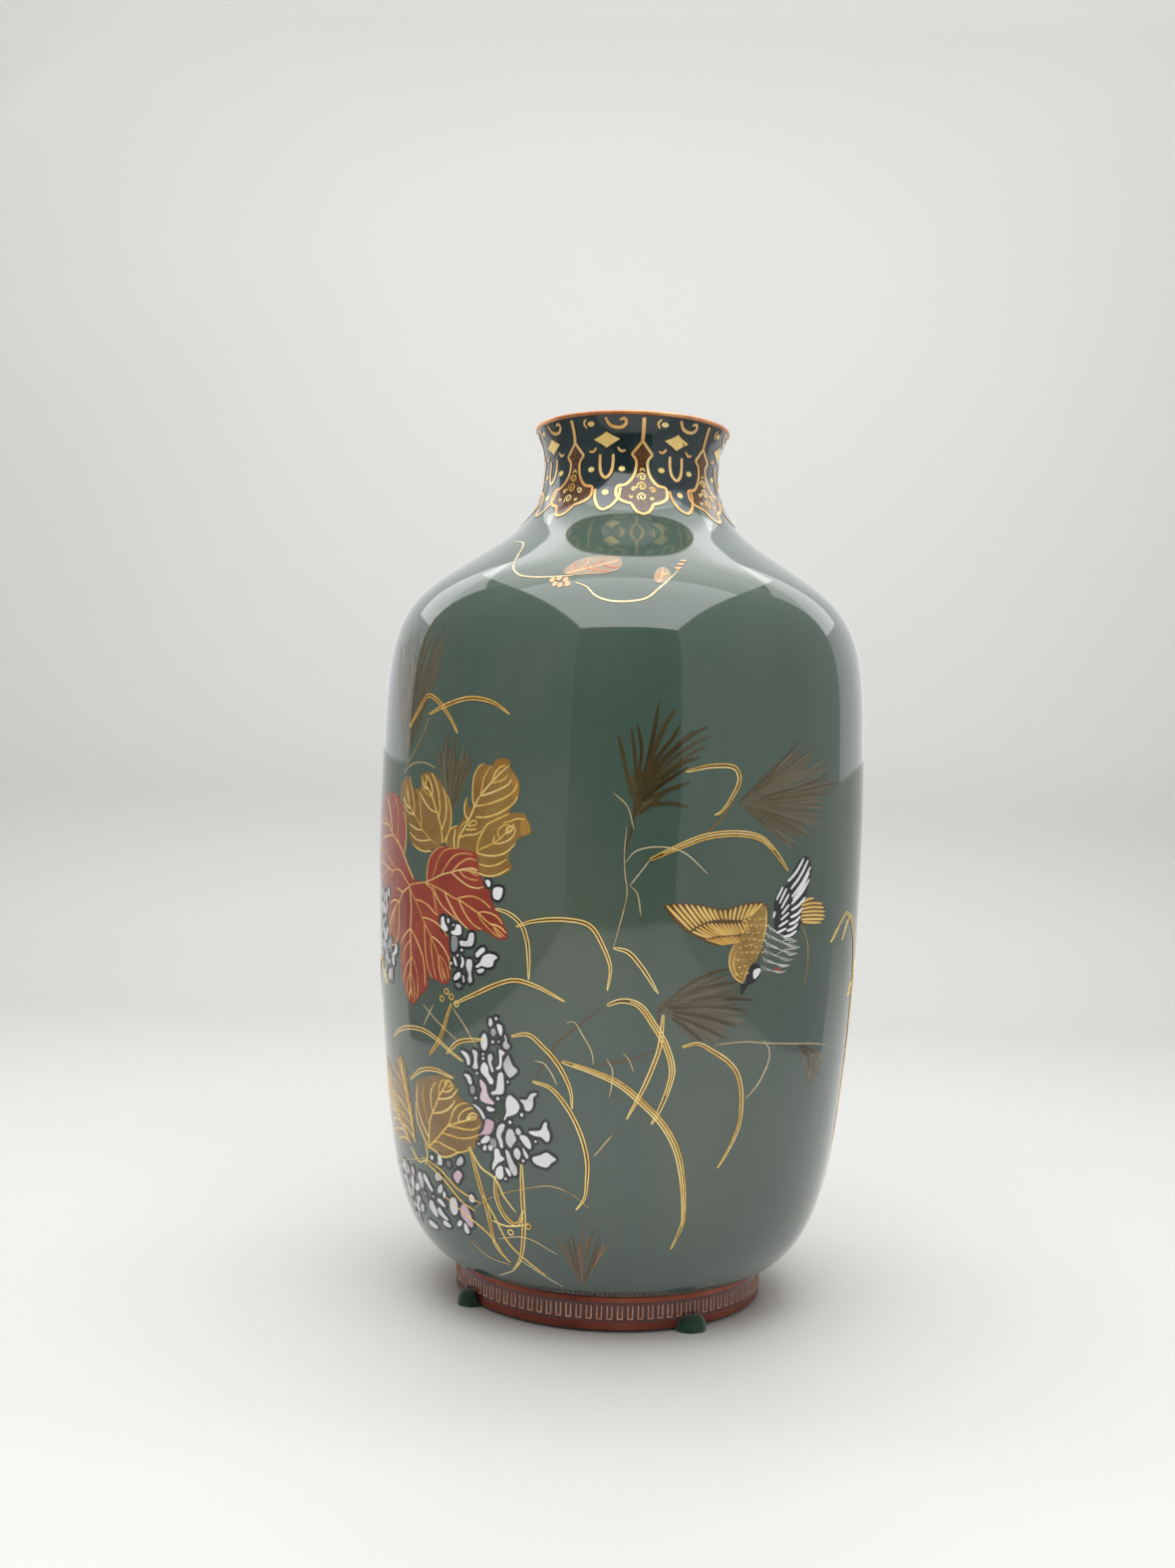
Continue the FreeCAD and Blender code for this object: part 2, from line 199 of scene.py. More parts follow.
def inside(points, polygon):
    """Which points lie in the polygon."""
    x, y = points[:, 0], points[:, 1]
    hit = np.zeros(len(points), bool)
    for (x0, y0), (x1, y1) in zip(polygon, np.roll(polygon, -1, axis=0)):
        crosses = (y0 > y) != (y1 > y)
        with np.errstate(divide="ignore", invalid="ignore"):
            hit ^= crosses & (x < (x1 - x0) * (y - y0) / (y1 - y0) + x0)
    return hit


def edge_distance(points, polygon):
    """Distance from each point to the polygon's edge."""
    a, b = polygon, np.roll(polygon, -1, axis=0)
    ab = b - a
    t = ((points[:, None] - a) * ab).sum(-1) / np.maximum((ab**2).sum(-1), 1e-12)
    near = a + np.clip(t, 0, 1)[..., None] * ab
    return np.sqrt(((points[:, None] - near) ** 2).sum(-1)).min(1)


def bezier(p0, p1, p2, count):
    """Points along a quadratic Bezier curve."""
    t = np.linspace(0, 1, count)[:, None]
    return (1 - t) ** 2 * p0 + 2 * t * (1 - t) * p1 + t**2 * p2


def spiral(centre, size, turns, start, hand):
    """A curl that opens outwards, in mm."""
    count = int(16 * turns) + 4
    out = []
    for i in range(count + 1):
        f = i / count
        angle = start + hand * f * turns * 2 * math.pi
        radius = size * (0.12 + 0.88 * f)
        out.append((centre[0] + radius * math.cos(angle), centre[1] + radius * math.sin(angle)))
    return out


def side_vectors(path):
    """Unit vectors across a path, to its left."""
    along = np.gradient(path, axis=0)
    along /= np.maximum(np.linalg.norm(along, axis=1, keepdims=True), 1e-9)
    return np.stack([-along[:, 1], along[:, 0]], 1)


# ---------------------------------------------------------------- inlays on the wall

class Inlay:
    """Thin plates that follow the wall: cells of enamel, wires, and painted strokes."""

    def __init__(self, name, material, lift, slot=None, replaced=()):
        self.name, self.material, self.lift, self.slot, self.replaced = name, material, lift, slot, replaced
        self.points, self.faces, self.lifts, self.tints = [], [], [], []
        self.count = 0

    def plate(self, flat, faces, scale, tint):
        """Adds a flat mesh in mm, where scale is the mm per degree that it was drawn with."""
        start = len(self.points)
        self.count += 1
        lift = self.lift + LAYER_STEP * (self.count % LAYERS)
        for x, z in flat:
            self.points.append((x / scale, z))
            self.lifts.append(lift)
            self.tints.append(tint)
        self.faces += [tuple(i + start for i in face) for face in faces]

    def line(self, points, width, ends=(0.3, 0.3), smooth=True, tint=None, step=0.9, closed=False):
        """A line of a given width in mm; ends are the shares of the width left at each end."""
        points = np.asarray(points, float)
        scale = mm_per_degree(points[:, 1].mean())
        flat = points * (scale, 1.0)
        self.flat_line(flat, scale, width, ends, smooth, tint, step, closed)

    def flat_line(self, flat, scale, width, ends=(0.3, 0.3), smooth=True, tint=None, step=0.9, closed=False):
        """The same for a line whose points are in mm, where scale is the mm per degree there."""
        path = curve(flat, closed, step) if smooth else even(flat, step)
        tint = random_source.random() if tint is None else tint
        n = len(path)
        across = side_vectors(path)
        f = np.linspace(0, 1, n)
        taper = np.ones(n)
        for end, along in zip(ends, (f, 1 - f)):
            taper *= np.minimum(1, end + (1 - end) * np.sqrt(np.clip(along / TAPER_SHARE, 0, 1)))
        half = (width * taper / 2)[:, None]
        points = np.concatenate([path + across * half, path - across * half])
        faces = [(i, n + i, n + i + 1, i + 1) for i in range(n - 1)]
        self.plate(points, faces, scale, tint)

    def fill(self, outline, tint=None, grid=2.4, smooth=False, closed_step=0.9):
        """A closed outline, filled with a mesh fine enough to follow the wall."""
        outline = np.asarray(outline, float)
        scale = mm_per_degree(outline[:, 1].mean())
        self.flat_fill(outline * (scale, 1.0), scale, tint, grid, smooth, closed_step)

    def flat_fill(self, flat, scale, tint=None, grid=2.4, smooth=False, closed_step=0.9):
        """The same for an outline whose points are in mm."""
        if smooth:
            flat = curve(flat, True, closed_step)[:-1]
        tint = random_source.random() if tint is None else tint
        low, high = flat.min(0), flat.max(0)
        xs, ys = np.arange(low[0], high[0], grid), np.arange(low[1], high[1], grid * ROW_PITCH)
        seeds = np.array([(x + grid / 2 * (j % 2), y) for j, y in enumerate(ys) for x in xs])
        if len(seeds):
            seeds = seeds[inside(seeds, flat)]
        if len(seeds):
            seeds = seeds[edge_distance(seeds, flat) > grid * EDGE_CLEARANCE]
        points = [Vector(p) for p in flat] + [Vector(p) for p in seeds]
        made = geometry.delaunay_2d_cdt(points, [], [list(range(len(flat)))], 1, MERGE_DISTANCE)
        self.plate([tuple(p) for p in made[0]], made[2], scale, tint)

    def build(self):
        """Gives the plates their thickness and makes the piece."""
        flat = np.array(self.points)
        top, normal = wall(flat[:, 0], flat[:, 1], np.array(self.lifts))
        low, _ = wall(flat[:, 0], flat[:, 1], np.full(len(flat), SUNK))
        n = len(flat)
        faces, normals = [], []
        edges = {}
        for face in self.faces:
            a = flat[list(face)]
            area = (a[:, 0] * np.roll(a[:, 1], -1) - np.roll(a[:, 0], -1) * a[:, 1]).sum()
            face = face if area > 0 else face[::-1]
            faces.append(face)
            normals += [normal[i] for i in face]
            for i, j in zip(face, face[1:] + face[:1]):
                edges[(i, j)] = edges.get((i, j), 0) + 1
            faces.append(tuple(i + n for i in face[::-1]))
            normals += [-normal[i] for i in face[::-1]]
        for (i, j) in edges:
            if (j, i) not in edges:
                faces.append((j, i, i + n, j + n))
                side = np.cross(top[i] - top[j], low[i] - top[i])
                side = side / max(np.linalg.norm(side), 1e-12)
                normals += [side] * 4
        mesh = bpy.data.meshes.new(self.name)
        mesh.from_pydata(np.concatenate([top, low]).tolist(), [], faces)
        mesh.polygons.foreach_set("use_smooth", [True] * len(mesh.polygons))
        tint = mesh.attributes.new("tint", "FLOAT", "POINT")
        tint.data.foreach_set("value", self.tints * 2)
        mesh.update()
        mesh.normals_split_custom_set([tuple(v) for v in normals])
        place(self.name, mesh, self.material, self.slot, self.replaced)


def build(*inlays):
    """Makes the pieces of finished inlays."""
    for inlay in inlays:
        inlay.build()


def place(name, mesh, material, slot=None, replaced=()):
    """A piece on the vase, in place of the CAD nodes that it replaces."""
    piece = bpy.data.objects.new(name, mesh)
    bpy.context.scene.collection.objects.link(piece)
    mesh.materials.append(material)
    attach(piece, "root")
    if replaced:
        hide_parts(*replaced)


def lathe(name, low, high, material, slot, replaced, rows=1.6, columns=288):
    """One ring of the ground enamel between two heights, with its inner face."""
    t0, t1 = np.interp([low, high], PROFILE_Z, ARC)
    count = int((t1 - t0) / rows) + 2
    arc = np.linspace(t0, t1, count)
    z = np.interp(arc, ARC, PROFILE_Z)
    a = np.arange(columns) * 360.0 / columns
    grid_a, grid_z = np.meshgrid(a, z)
    outer, normal = wall(grid_a.ravel(), grid_z.ravel())
    inner_rows = z[:: max(1, count // INNER_ROWS)]
    if inner_rows[-1] != z[-1]:
        inner_rows = np.append(inner_rows, z[-1])
    grid_a, grid_z = np.meshgrid(a, inner_rows)
    inner, inner_normal = wall(grid_a.ravel(), grid_z.ravel(), np.full(grid_a.size, -ENAMEL))
    start = len(outer)
    faces, normals = [], []

    def band(lower, upper, flip, offset_normals):
        for i in range(columns):
            j = (i + 1) % columns
            face = (lower + i, lower + j, upper + j, upper + i)
            face = face[::-1] if flip else face
            faces.append(face)
            normals.extend(offset_normals(k) for k in face)

    for row in range(count - 1):
        band(row * columns, (row + 1) * columns, False, lambda k: normal[k])
    for row in range(len(inner_rows) - 1):
        lower = start + row * columns
        band(lower, lower + columns, True, lambda k: -inner_normal[k - start])
    band(0, start, True, lambda k: (0, 0, -1))
    band((count - 1) * columns, start + (len(inner_rows) - 1) * columns, False, lambda k: (0, 0, 1))

    mesh = bpy.data.meshes.new(name)
    mesh.from_pydata(np.concatenate([outer, inner]).tolist(), [], faces)
    mesh.polygons.foreach_set("use_smooth", [True] * len(mesh.polygons))
    mesh.update()
    mesh.normals_split_custom_set([tuple(v) for v in normals])
    place(name, mesh, material, slot, replaced)


# ---------------------------------------------------------------- materials

# The colour sockets of Blender's Mix node.
MIX_FIRST, MIX_SECOND, MIX_RESULT = 6, 7, 2


class Nodes:
    """A short way to write a material's node tree."""

    def __init__(self, name):
        self.material = bpy.data.materials.new(name)
        self.material.use_nodes = True
        self.tree = self.material.node_tree
        self.shader = self.tree.nodes["Principled BSDF"]
        self.place = self.add("ShaderNodeTexCoord").outputs["Object"]

    def add(self, kind, **inputs):
        node = self.tree.nodes.new(kind)
        for key, value in inputs.items():
            self.put(node.inputs[key.replace("_", " ")], value)
        return node

    def put(self, socket, value):
        if isinstance(value, bpy.types.NodeSocket):
            self.tree.links.new(value, socket)
        elif isinstance(value, tuple) and len(value) == 3 and socket.type == "RGBA":
            socket.default_value = (*value, 1.0)
        else:
            socket.default_value = value

    def noise(self, scale, detail=3.0, rough=0.5, distort=0.0, stretch=None):
        place = self.place
        if stretch:
            mapping = self.add("ShaderNodeMapping", Vector=place, Scale=stretch)
            place = mapping.outputs[0]
        node = self.add("ShaderNodeTexNoise", Vector=place, Scale=scale, Detail=detail, Roughness=rough,
                        Distortion=distort)
        return node.outputs["Fac"]

    def cells(self, scale):
        """Distance to the nearest of the scattered cell centres."""
        return self.add("ShaderNodeTexVoronoi", Vector=self.place, Scale=scale).outputs["Distance"]

    def ramp(self, value, *stops):
        node = self.add("ShaderNodeValToRGB", Fac=value)
        marks = node.color_ramp.elements
        while len(marks) < len(stops):
            marks.new(0.5)
        for mark, (position, colour) in zip(marks, stops):
            mark.position = position
            mark.color = (*colour, 1.0) if isinstance(colour, tuple) else (colour, colour, colour, 1.0)
        return node.outputs["Color"]

    def mix(self, share, first, second):
        node = self.tree.nodes.new("ShaderNodeMix")
        node.data_type = "RGBA"
        self.put(node.inputs["Factor"], share)
        self.put(node.inputs[MIX_FIRST], first)
        self.put(node.inputs[MIX_SECOND], second)
        return node.outputs[MIX_RESULT]

    def math(self, kind, first, second, third=None):
        node = self.tree.nodes.new("ShaderNodeMath")
        node.operation = kind
        self.put(node.inputs[0], first)
        self.put(node.inputs[1], second)
        if third is not None:
            self.put(node.inputs[2], third)
        return node.outputs[0]

    def span(self, value, low, high):
        node = self.add("ShaderNodeMapRange", Value=value, To_Min=low, To_Max=high)
        return node.outputs[0]

    def tint(self):
        """The tone that each plate of an inlay was given."""
        node = self.tree.nodes.new("ShaderNodeAttribute")
        node.attribute_name = "tint"
        return node.outputs["Fac"]

    def bump(self, height, strength, distance):
        node = self.add("ShaderNodeBump", Height=height, Strength=strength, Distance=distance)
        return node.outputs["Normal"]

    def finish(self, **sockets):
        """Sets the shader's sockets; the material is then done."""
        for key, value in sockets.items():
            self.put(self.shader.inputs[key.replace("_", " ")], value)
        return self.material


def glossy(n, colour, low=0.035, high=0.085, bump=0.16):
    """Polished enamel: faint orange peel, and a bloom that varies over the surface."""
    rough = n.span(n.noise(26.0, 4.0), low, high)
    pits = n.ramp(n.cells(900.0), (0.0, 0.0), (0.12, 1.0))
    peel = n.noise(340.0, 2.0)
    height = n.math("MULTIPLY_ADD", pits, 0.5, peel)
    return n.finish(
        Base_Color=colour, Roughness=rough, Normal=n.bump(height, bump, 0.00003),
        IOR=1.55, Coat_Weight=0.35, Coat_Roughness=0.03
    )


TONE_HEIGHT = 0.3           # metres over which the ground's tone changes


def ground_material():
    """Grey-green ground: clouds, faint upright streaks, a darker shoulder, a greyer foot, and specks."""
    n = Nodes("ground_enamel")
    cloud = n.ramp(
        n.noise(14.0, 6.0, 0.55, 0.6),
        (0.28, (0.062, 0.100, 0.078)), (0.50, (0.088, 0.120, 0.092)), (0.74, (0.122, 0.142, 0.106)),
    )
    streaks = n.noise(60.0, 4.0, 0.6, 0.2, (1.0, 1.0, 0.16))
    colour = n.mix(n.span(streaks, 0.0, 0.36), cloud, (0.040, 0.066, 0.054))
    drips = n.ramp(n.noise(24.0, 5.0, 0.6, 0.3, (1.0, 1.0, 0.10)), (0.42, 0.0), (0.66, 1.0))
    colour = n.mix(n.math("MULTIPLY", drips, 0.42), colour, (0.034, 0.074, 0.054))
    height = n.math("DIVIDE", n.add("ShaderNodeSeparateXYZ", Vector=n.place).outputs["Z"], TONE_HEIGHT)
    upper = n.ramp(height, (0.05, 0.0), (0.40, 0.2), (0.62, 1.0))
    colour = n.mix(n.math("MULTIPLY", upper, 0.38), colour, (0.052, 0.094, 0.074))
    lower = n.ramp(height, (0.0, 1.0), (0.28, 0.7), (0.45, 0.0))
    colour = n.mix(n.math("MULTIPLY", lower, 0.5), colour, (0.088, 0.112, 0.110))
    dark = n.math("MULTIPLY", n.math("LESS_THAN", n.cells(420.0), 0.10), 0.55)
    rare = n.math("GREATER_THAN", n.noise(95.0, 1.0), 0.60)
    colour = n.mix(n.math("MULTIPLY", dark, rare), colour, (0.012, 0.018, 0.015))
    light = n.math("LESS_THAN", n.cells(170.0), 0.035)
    colour = n.mix(n.math("MULTIPLY", light, 0.35), colour, (0.30, 0.34, 0.30))
    return glossy(n, colour)


def inlay_enamel(name, dark, mid, light, fleck=0.0, low=0.07, high=0.16):
    """Coloured enamel whose tone varies from cell to cell and within a cell."""
    n = Nodes(name)
    tone = n.math("MULTIPLY_ADD", n.noise(70.0, 5.0, 0.6, 0.4), 0.75, n.math("MULTIPLY", n.tint(), 0.45))
    colour = n.ramp(tone, (0.32, dark), (0.55, mid), (0.85, light))
    if fleck:
        sparks = n.math("LESS_THAN", n.cells(1500.0), 0.22)
        spark_colour = tuple(min(1.0, c * 5 + 0.12) for c in light)
        colour = n.mix(n.math("MULTIPLY", sparks, fleck), colour, spark_colour)
    return glossy(n, colour, low, high)


def wire_material(name, dark, mid, light):
    """Gold-toned wire, polished down flush, a little tarnished along its length."""
    n = Nodes(name)
    tone = n.math("MULTIPLY_ADD", n.noise(210.0, 4.0, 0.6), 0.7, n.math("MULTIPLY", n.tint(), 0.4))
    colour = n.ramp(tone, (0.3, dark), (0.5, mid), (0.8, light))
    scratches = n.noise(900.0, 2.0, 0.5, 0.0, (1.0, 1.0, 3.0))
    return n.finish(
        Base_Color=colour, Metallic=0.35, Roughness=n.span(n.noise(160.0, 3.0), 0.2, 0.38),
        Normal=n.bump(scratches, 0.15, 0.00003), Specular_IOR_Level=0.6
    )


def painted_material(name, dark, mid, light):
    """Soft brushed enamel colour under the polish."""
    n = Nodes(name)
    tone = n.math("MULTIPLY_ADD", n.noise(55.0, 4.0, 0.6), 0.5, n.math("MULTIPLY", n.tint(), 0.6))
    colour = n.ramp(tone, (0.25, dark), (0.55, mid), (0.85, light))
    return glossy(n, colour)


def copper_material(name, dark, mid, light, low=0.28, high=0.5):
    """Brushed copper with darker stains."""
    n = Nodes(name)
    tone = n.noise(38.0, 6.0, 0.65, 0.5)
    colour = n.ramp(tone, (0.3, dark), (0.52, mid), (0.75, light))
    stains = n.ramp(n.noise(150.0, 4.0, 0.7), (0.55, 0.0), (0.72, 1.0))
    colour = n.mix(n.math("MULTIPLY", stains, 0.35), colour, tuple(c * 0.35 for c in dark))
    brushed = n.noise(420.0, 3.0, 0.5, 0.0, (1.0, 1.0, 14.0))
    return n.finish(
        Base_Color=colour, Metallic=0.85, Roughness=n.span(n.noise(90.0, 4.0), low, high),
        Normal=n.bump(brushed, 0.25, 0.00004)
    )


def pad_material():
    """Soft green felt."""
    n = Nodes("pad_felt")
    fuzz = n.noise(1600.0, 4.0, 0.7, 0.5)
    colour = n.ramp(
        n.noise(320.0, 5.0, 0.6),
        (0.3, (0.0, 0.022, 0.008)), (0.6, (0.002, 0.05, 0.018)), (0.85, (0.006, 0.085, 0.032)),
    )
    return n.finish(
        Base_Color=colour, Roughness=n.span(n.noise(500.0, 2.0), 0.7, 0.95),
        Normal=n.bump(fuzz, 0.8, 0.0003), Sheen_Weight=0.5, Sheen_Roughness=0.5
    )


def counter_material():
    """The plainer enamel inside and under the vase."""
    n = Nodes("counter_enamel")
    colour = n.ramp(
        n.noise(30.0, 6.0, 0.65, 0.8),
        (0.3, (0.020, 0.036, 0.032)), (0.55, (0.035, 0.058, 0.050)), (0.8, (0.055, 0.078, 0.066)),
    )
    return glossy(n, colour, 0.12, 0.3, 0.35)


def stage_material(name, low, high):
    """Pale matt paper."""
    n = Nodes(name)
    colour = n.ramp(n.noise(1.5, 2.0), (0.3, low), (0.7, high))
    return n.finish(Base_Color=colour, Roughness=n.span(n.noise(40.0, 2.0), 0.5, 0.62))


GROUND = ground_material()
NECK_GROUND = inlay_enamel("neck_enamel", (0.012, 0.024, 0.026), (0.028, 0.048, 0.052), (0.058, 0.084, 0.090))
SLATE = inlay_enamel("slate_enamel", (0.034, 0.054, 0.064), (0.062, 0.086, 0.098), (0.100, 0.124, 0.138))
GOLDSTONE = inlay_enamel("goldstone_enamel", (0.045, 0.018, 0.006), (0.085, 0.036, 0.012),
                         (0.140, 0.066, 0.024), fleck=0.4)
RED = inlay_enamel("red_enamel", (0.200, 0.024, 0.012), (0.300, 0.040, 0.020), (0.400, 0.070, 0.034))
BROWN = inlay_enamel("brown_enamel", (0.150, 0.074, 0.014), (0.230, 0.122, 0.024),
                     (0.330, 0.195, 0.050), fleck=0.12)
RUST = inlay_enamel("rusty_enamel", (0.180, 0.078, 0.010), (0.270, 0.125, 0.018), (0.380, 0.200, 0.040))
GRASS = inlay_enamel("grass_enamel", (0.050, 0.020, 0.005), (0.100, 0.042, 0.010), (0.200, 0.090, 0.022))
PETAL = inlay_enamel("petal_enamel", (0.50, 0.49, 0.51), (0.76, 0.76, 0.77),
                     (0.88, 0.88, 0.88), low=0.1, high=0.2)
PINK = inlay_enamel("pink_enamel", (0.50, 0.28, 0.36), (0.66, 0.44, 0.52), (0.78, 0.62, 0.68))
GREY = inlay_enamel("grey_enamel", (0.19, 0.20, 0.20), (0.31, 0.32, 0.32), (0.44, 0.45, 0.44))
GAP = inlay_enamel("gap_enamel", (0.010, 0.032, 0.018), (0.018, 0.050, 0.030), (0.036, 0.072, 0.048))
OUTLINE = inlay_enamel("dark_outline", (0.010, 0.011, 0.013), (0.018, 0.019, 0.022), (0.036, 0.038, 0.042))
SALMON = inlay_enamel("salmon_enamel", (0.46, 0.12, 0.04), (0.66, 0.24, 0.10), (0.80, 0.42, 0.18))
LEAF_GREEN = inlay_enamel("leaf_green", (0.16, 0.14, 0.08), (0.26, 0.20, 0.12), (0.40, 0.27, 0.16))
FEATHER = inlay_enamel("feather_gold", (0.34, 0.15, 0.022), (0.60, 0.33, 0.065),
                       (0.82, 0.56, 0.17), low=0.12, high=0.2)
MOTTLE = inlay_enamel("mottled_gold", (0.12, 0.058, 0.012), (0.26, 0.145, 0.030),
                      (0.52, 0.33, 0.10), fleck=0.25)
SHADE = inlay_enamel("brown_shade", (0.050, 0.026, 0.008), (0.085, 0.046, 0.014), (0.130, 0.075, 0.026))
DOWN = inlay_enamel("down_grey", (0.24, 0.25, 0.23), (0.42, 0.43, 0.40), (0.62, 0.63, 0.60))
BREAST = inlay_enamel("breast_grey", (0.050, 0.066, 0.054), (0.078, 0.096, 0.082), (0.120, 0.140, 0.120))
GOLD = wire_material("gold_wire", (0.66, 0.36, 0.06), (0.96, 0.64, 0.17), (1.0, 0.84, 0.38))
PALE_WIRE = wire_material("pale_wire", (0.36, 0.24, 0.09), (0.58, 0.44, 0.22), (0.80, 0.70, 0.46))
ROSE_WIRE = wire_material("rose_wire", (0.62, 0.28, 0.07), (0.90, 0.50, 0.16), (1.0, 0.74, 0.34))
PLUME = painted_material("plume_brown", (0.034, 0.024, 0.008), (0.066, 0.050, 0.020), (0.120, 0.098, 0.050))
HAZE = painted_material("plume_haze", (0.084, 0.074, 0.044), (0.110, 0.100, 0.062), (0.140, 0.130, 0.086))
TWIG = painted_material("twig_brown", (0.090, 0.044, 0.016), (0.16, 0.080, 0.032), (0.25, 0.14, 0.06))
COPPER = copper_material("copper", (0.20, 0.08, 0.04), (0.40, 0.18, 0.09), (0.58, 0.31, 0.18))
FOOT = copper_material("foot_copper", (0.14, 0.032, 0.020), (0.28, 0.075, 0.045),
                       (0.44, 0.15, 0.090), 0.3, 0.5)
RIM = copper_material("rim_copper", (0.50, 0.16, 0.055), (0.80, 0.33, 0.13), (0.94, 0.52, 0.26), 0.25, 0.42)
FRET_WIRE = wire_material("fret_wire", (0.56, 0.26, 0.16), (0.84, 0.48, 0.32), (0.98, 0.70, 0.52))
FRET_ENAMEL = inlay_enamel("fret_enamel", (0.070, 0.012, 0.008), (0.12, 0.022, 0.013), (0.18, 0.044, 0.026))
COUNTER = counter_material()
PAD = pad_material()


# ---------------------------------------------------------------- the CAD nodes that stay

KEPT = {
    COPPER: ("copper_body_lower", "copper_body_shoulder", "copper_neck", "base_plate"),
    FOOT: ("foot_ring",),
    RIM: ("mouth_rim",),
    FRET_WIRE: ("foot_fret_wires",),
    FRET_ENAMEL: ("foot_enamel_band",),
    COUNTER: ("inner_body_enamel", "inner_neck_enamel", "inner_floor_enamel", "base_counter_enamel"),
}
for kept_material, names in KEPT.items():
    for node_name in names:
        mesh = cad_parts[node_name].data
        mesh.materials.clear()
        mesh.materials.append(kept_material)


# ---------------------------------------------------------------- grounds

lathe("body_ground", BODY_LOW, NECK_BAND, GROUND, "ground_enamel", ["body_ground_enamel"])
lathe("neck_ground", NECK_BAND, NECK_TOP, NECK_GROUND, "neck_enamel", ["neck_ground_enamel"], rows=0.8)


# ---------------------------------------------------------------- motifs

BLADE_WIRE = 0.40


def blade(cells, wires, points, width, lines=2):
    """A grass blade: a thread of dark enamel between gold wires."""
    points = np.asarray(points, float)
    scale = mm_per_degree(points[:, 1].mean())
    path = curve(points * (scale, 1.0))
    cells.flat_line(path, scale, width, (0.3, 0.15))
    n = len(path)
    across = side_vectors(path)
    f = np.linspace(0, 1, n)
    taper = np.minimum(1, 0.3 + 1.4 * np.sqrt(f)) * np.minimum(1, 0.1 + 1.5 * np.sqrt(1 - f))
    half = (width - BLADE_WIRE) / 2 * taper
    for i in range(lines):
        share = -1 + 2 * i / (lines - 1)
        outer = abs(share) == 1
        low = 0 if outer else int(n * random_source.uniform(0.04, 0.15))
        high = n if outer else int(n * random_source.uniform(0.75, 0.92))
        wire = (path + across * (half * share)[:, None])[low:high]
        wires.flat_line(wire, scale, BLADE_WIRE, (0.7, 0.6), False)


def plume(strokes, base, tips, per_gap, width, tone=(0.0, 1.0)):
    """A seed plume: tapered brush strokes that fan out from the base to the tips."""
    base = np.array(base, float)
    tips = np.array(tips, float)
    for i in range((len(tips) - 1) * per_gap + 1):
        f = i / per_gap
        j = min(int(f), len(tips) - 2)
        tip = tips[j] + (tips[j + 1] - tips[j]) * (f - j)
        tip = base + (tip - base) * (random_source.uniform(0.72, 1.0) if i % per_gap else 1.0)
        begin = base + (tip - base) * random_source.uniform(0.0, 0.35)
        side = np.array([-(tip - base)[1], (tip - base)[0]])
        middle = (begin + tip) / 2 + side * random_source.uniform(-0.10, 0.10) * 0.5
        strokes.line(
            bezier(begin, middle, tip, 8), width * random_source.uniform(0.6, 1.25), (0.35, 0.08),
            tint=random_source.uniform(*tone), step=1.4
        )


def circle_angles(count):
    """Angles of points evenly spaced round a circle."""
    return [2 * math.pi * i / count for i in range(count)]


def ring_of(spot, size=0.9, count=12):
    """A small circle round a place, its size in mm."""
    a, z = spot
    scale = mm_per_degree(z)
    turns = circle_angles(count)
    return [(a + size * math.cos(t) / scale, z + size * math.sin(t)) for t in turns]


# ---------------------------------------------------------------- leaves

LEAF_WIRE = 0.5


def veined(cells, wires, outlines, veins, width=LEAF_WIRE, tints=(0.4, 0.6)):
    """A leaf: flat-coloured enamel that ends at the outermost veins, and the veins, base end first."""
    for outline in outlines:
        cells.fill(outline, random_source.uniform(*tints), smooth=True)
    for vein in veins:
        wires.line(vein, width * random_source.uniform(0.9, 1.1), (0.9, 0.5))


def auto_leaf(cells, wires, base, tip, left, right, veins=6):
    """A leaf lobe with a straight midrib and evenly placed side veins."""
    scale = mm_per_degree((base[1] + tip[1]) / 2)
    to_mm = np.array([scale, 1.0])
    start, end = np.array(base) * to_mm, np.array(tip) * to_mm
    sides = [curve([start, *(np.array(side) * to_mm), end]) for side in (left, right)]
    cells.flat_fill(np.concatenate([sides[0], sides[1][::-1][1:-1]]), scale)
    rib = bezier(start, (start + end) / 2 + (0.8, 0.4), start + (end - start) * 0.96, 24)
    last = len(rib) - 1
    wires.flat_line(rib, scale, LEAF_WIRE * 1.2, (1.0, 0.4))
    for side in sides:
        for i in range(veins):
            share = 0.06 + 0.78 * i / veins
            root = rib[int(share * last)]
            ahead = rib[min(int(share * last) + 4, last)] - root
            target = side[min(int((share + 0.24) * (len(side) - 1)), len(side) - 2)]
            vein = bezier(root, (root + target) / 2 + ahead * 0.5, target, 10)
            wires.flat_line(vein, scale, LEAF_WIRE, (1.0, 0.5))


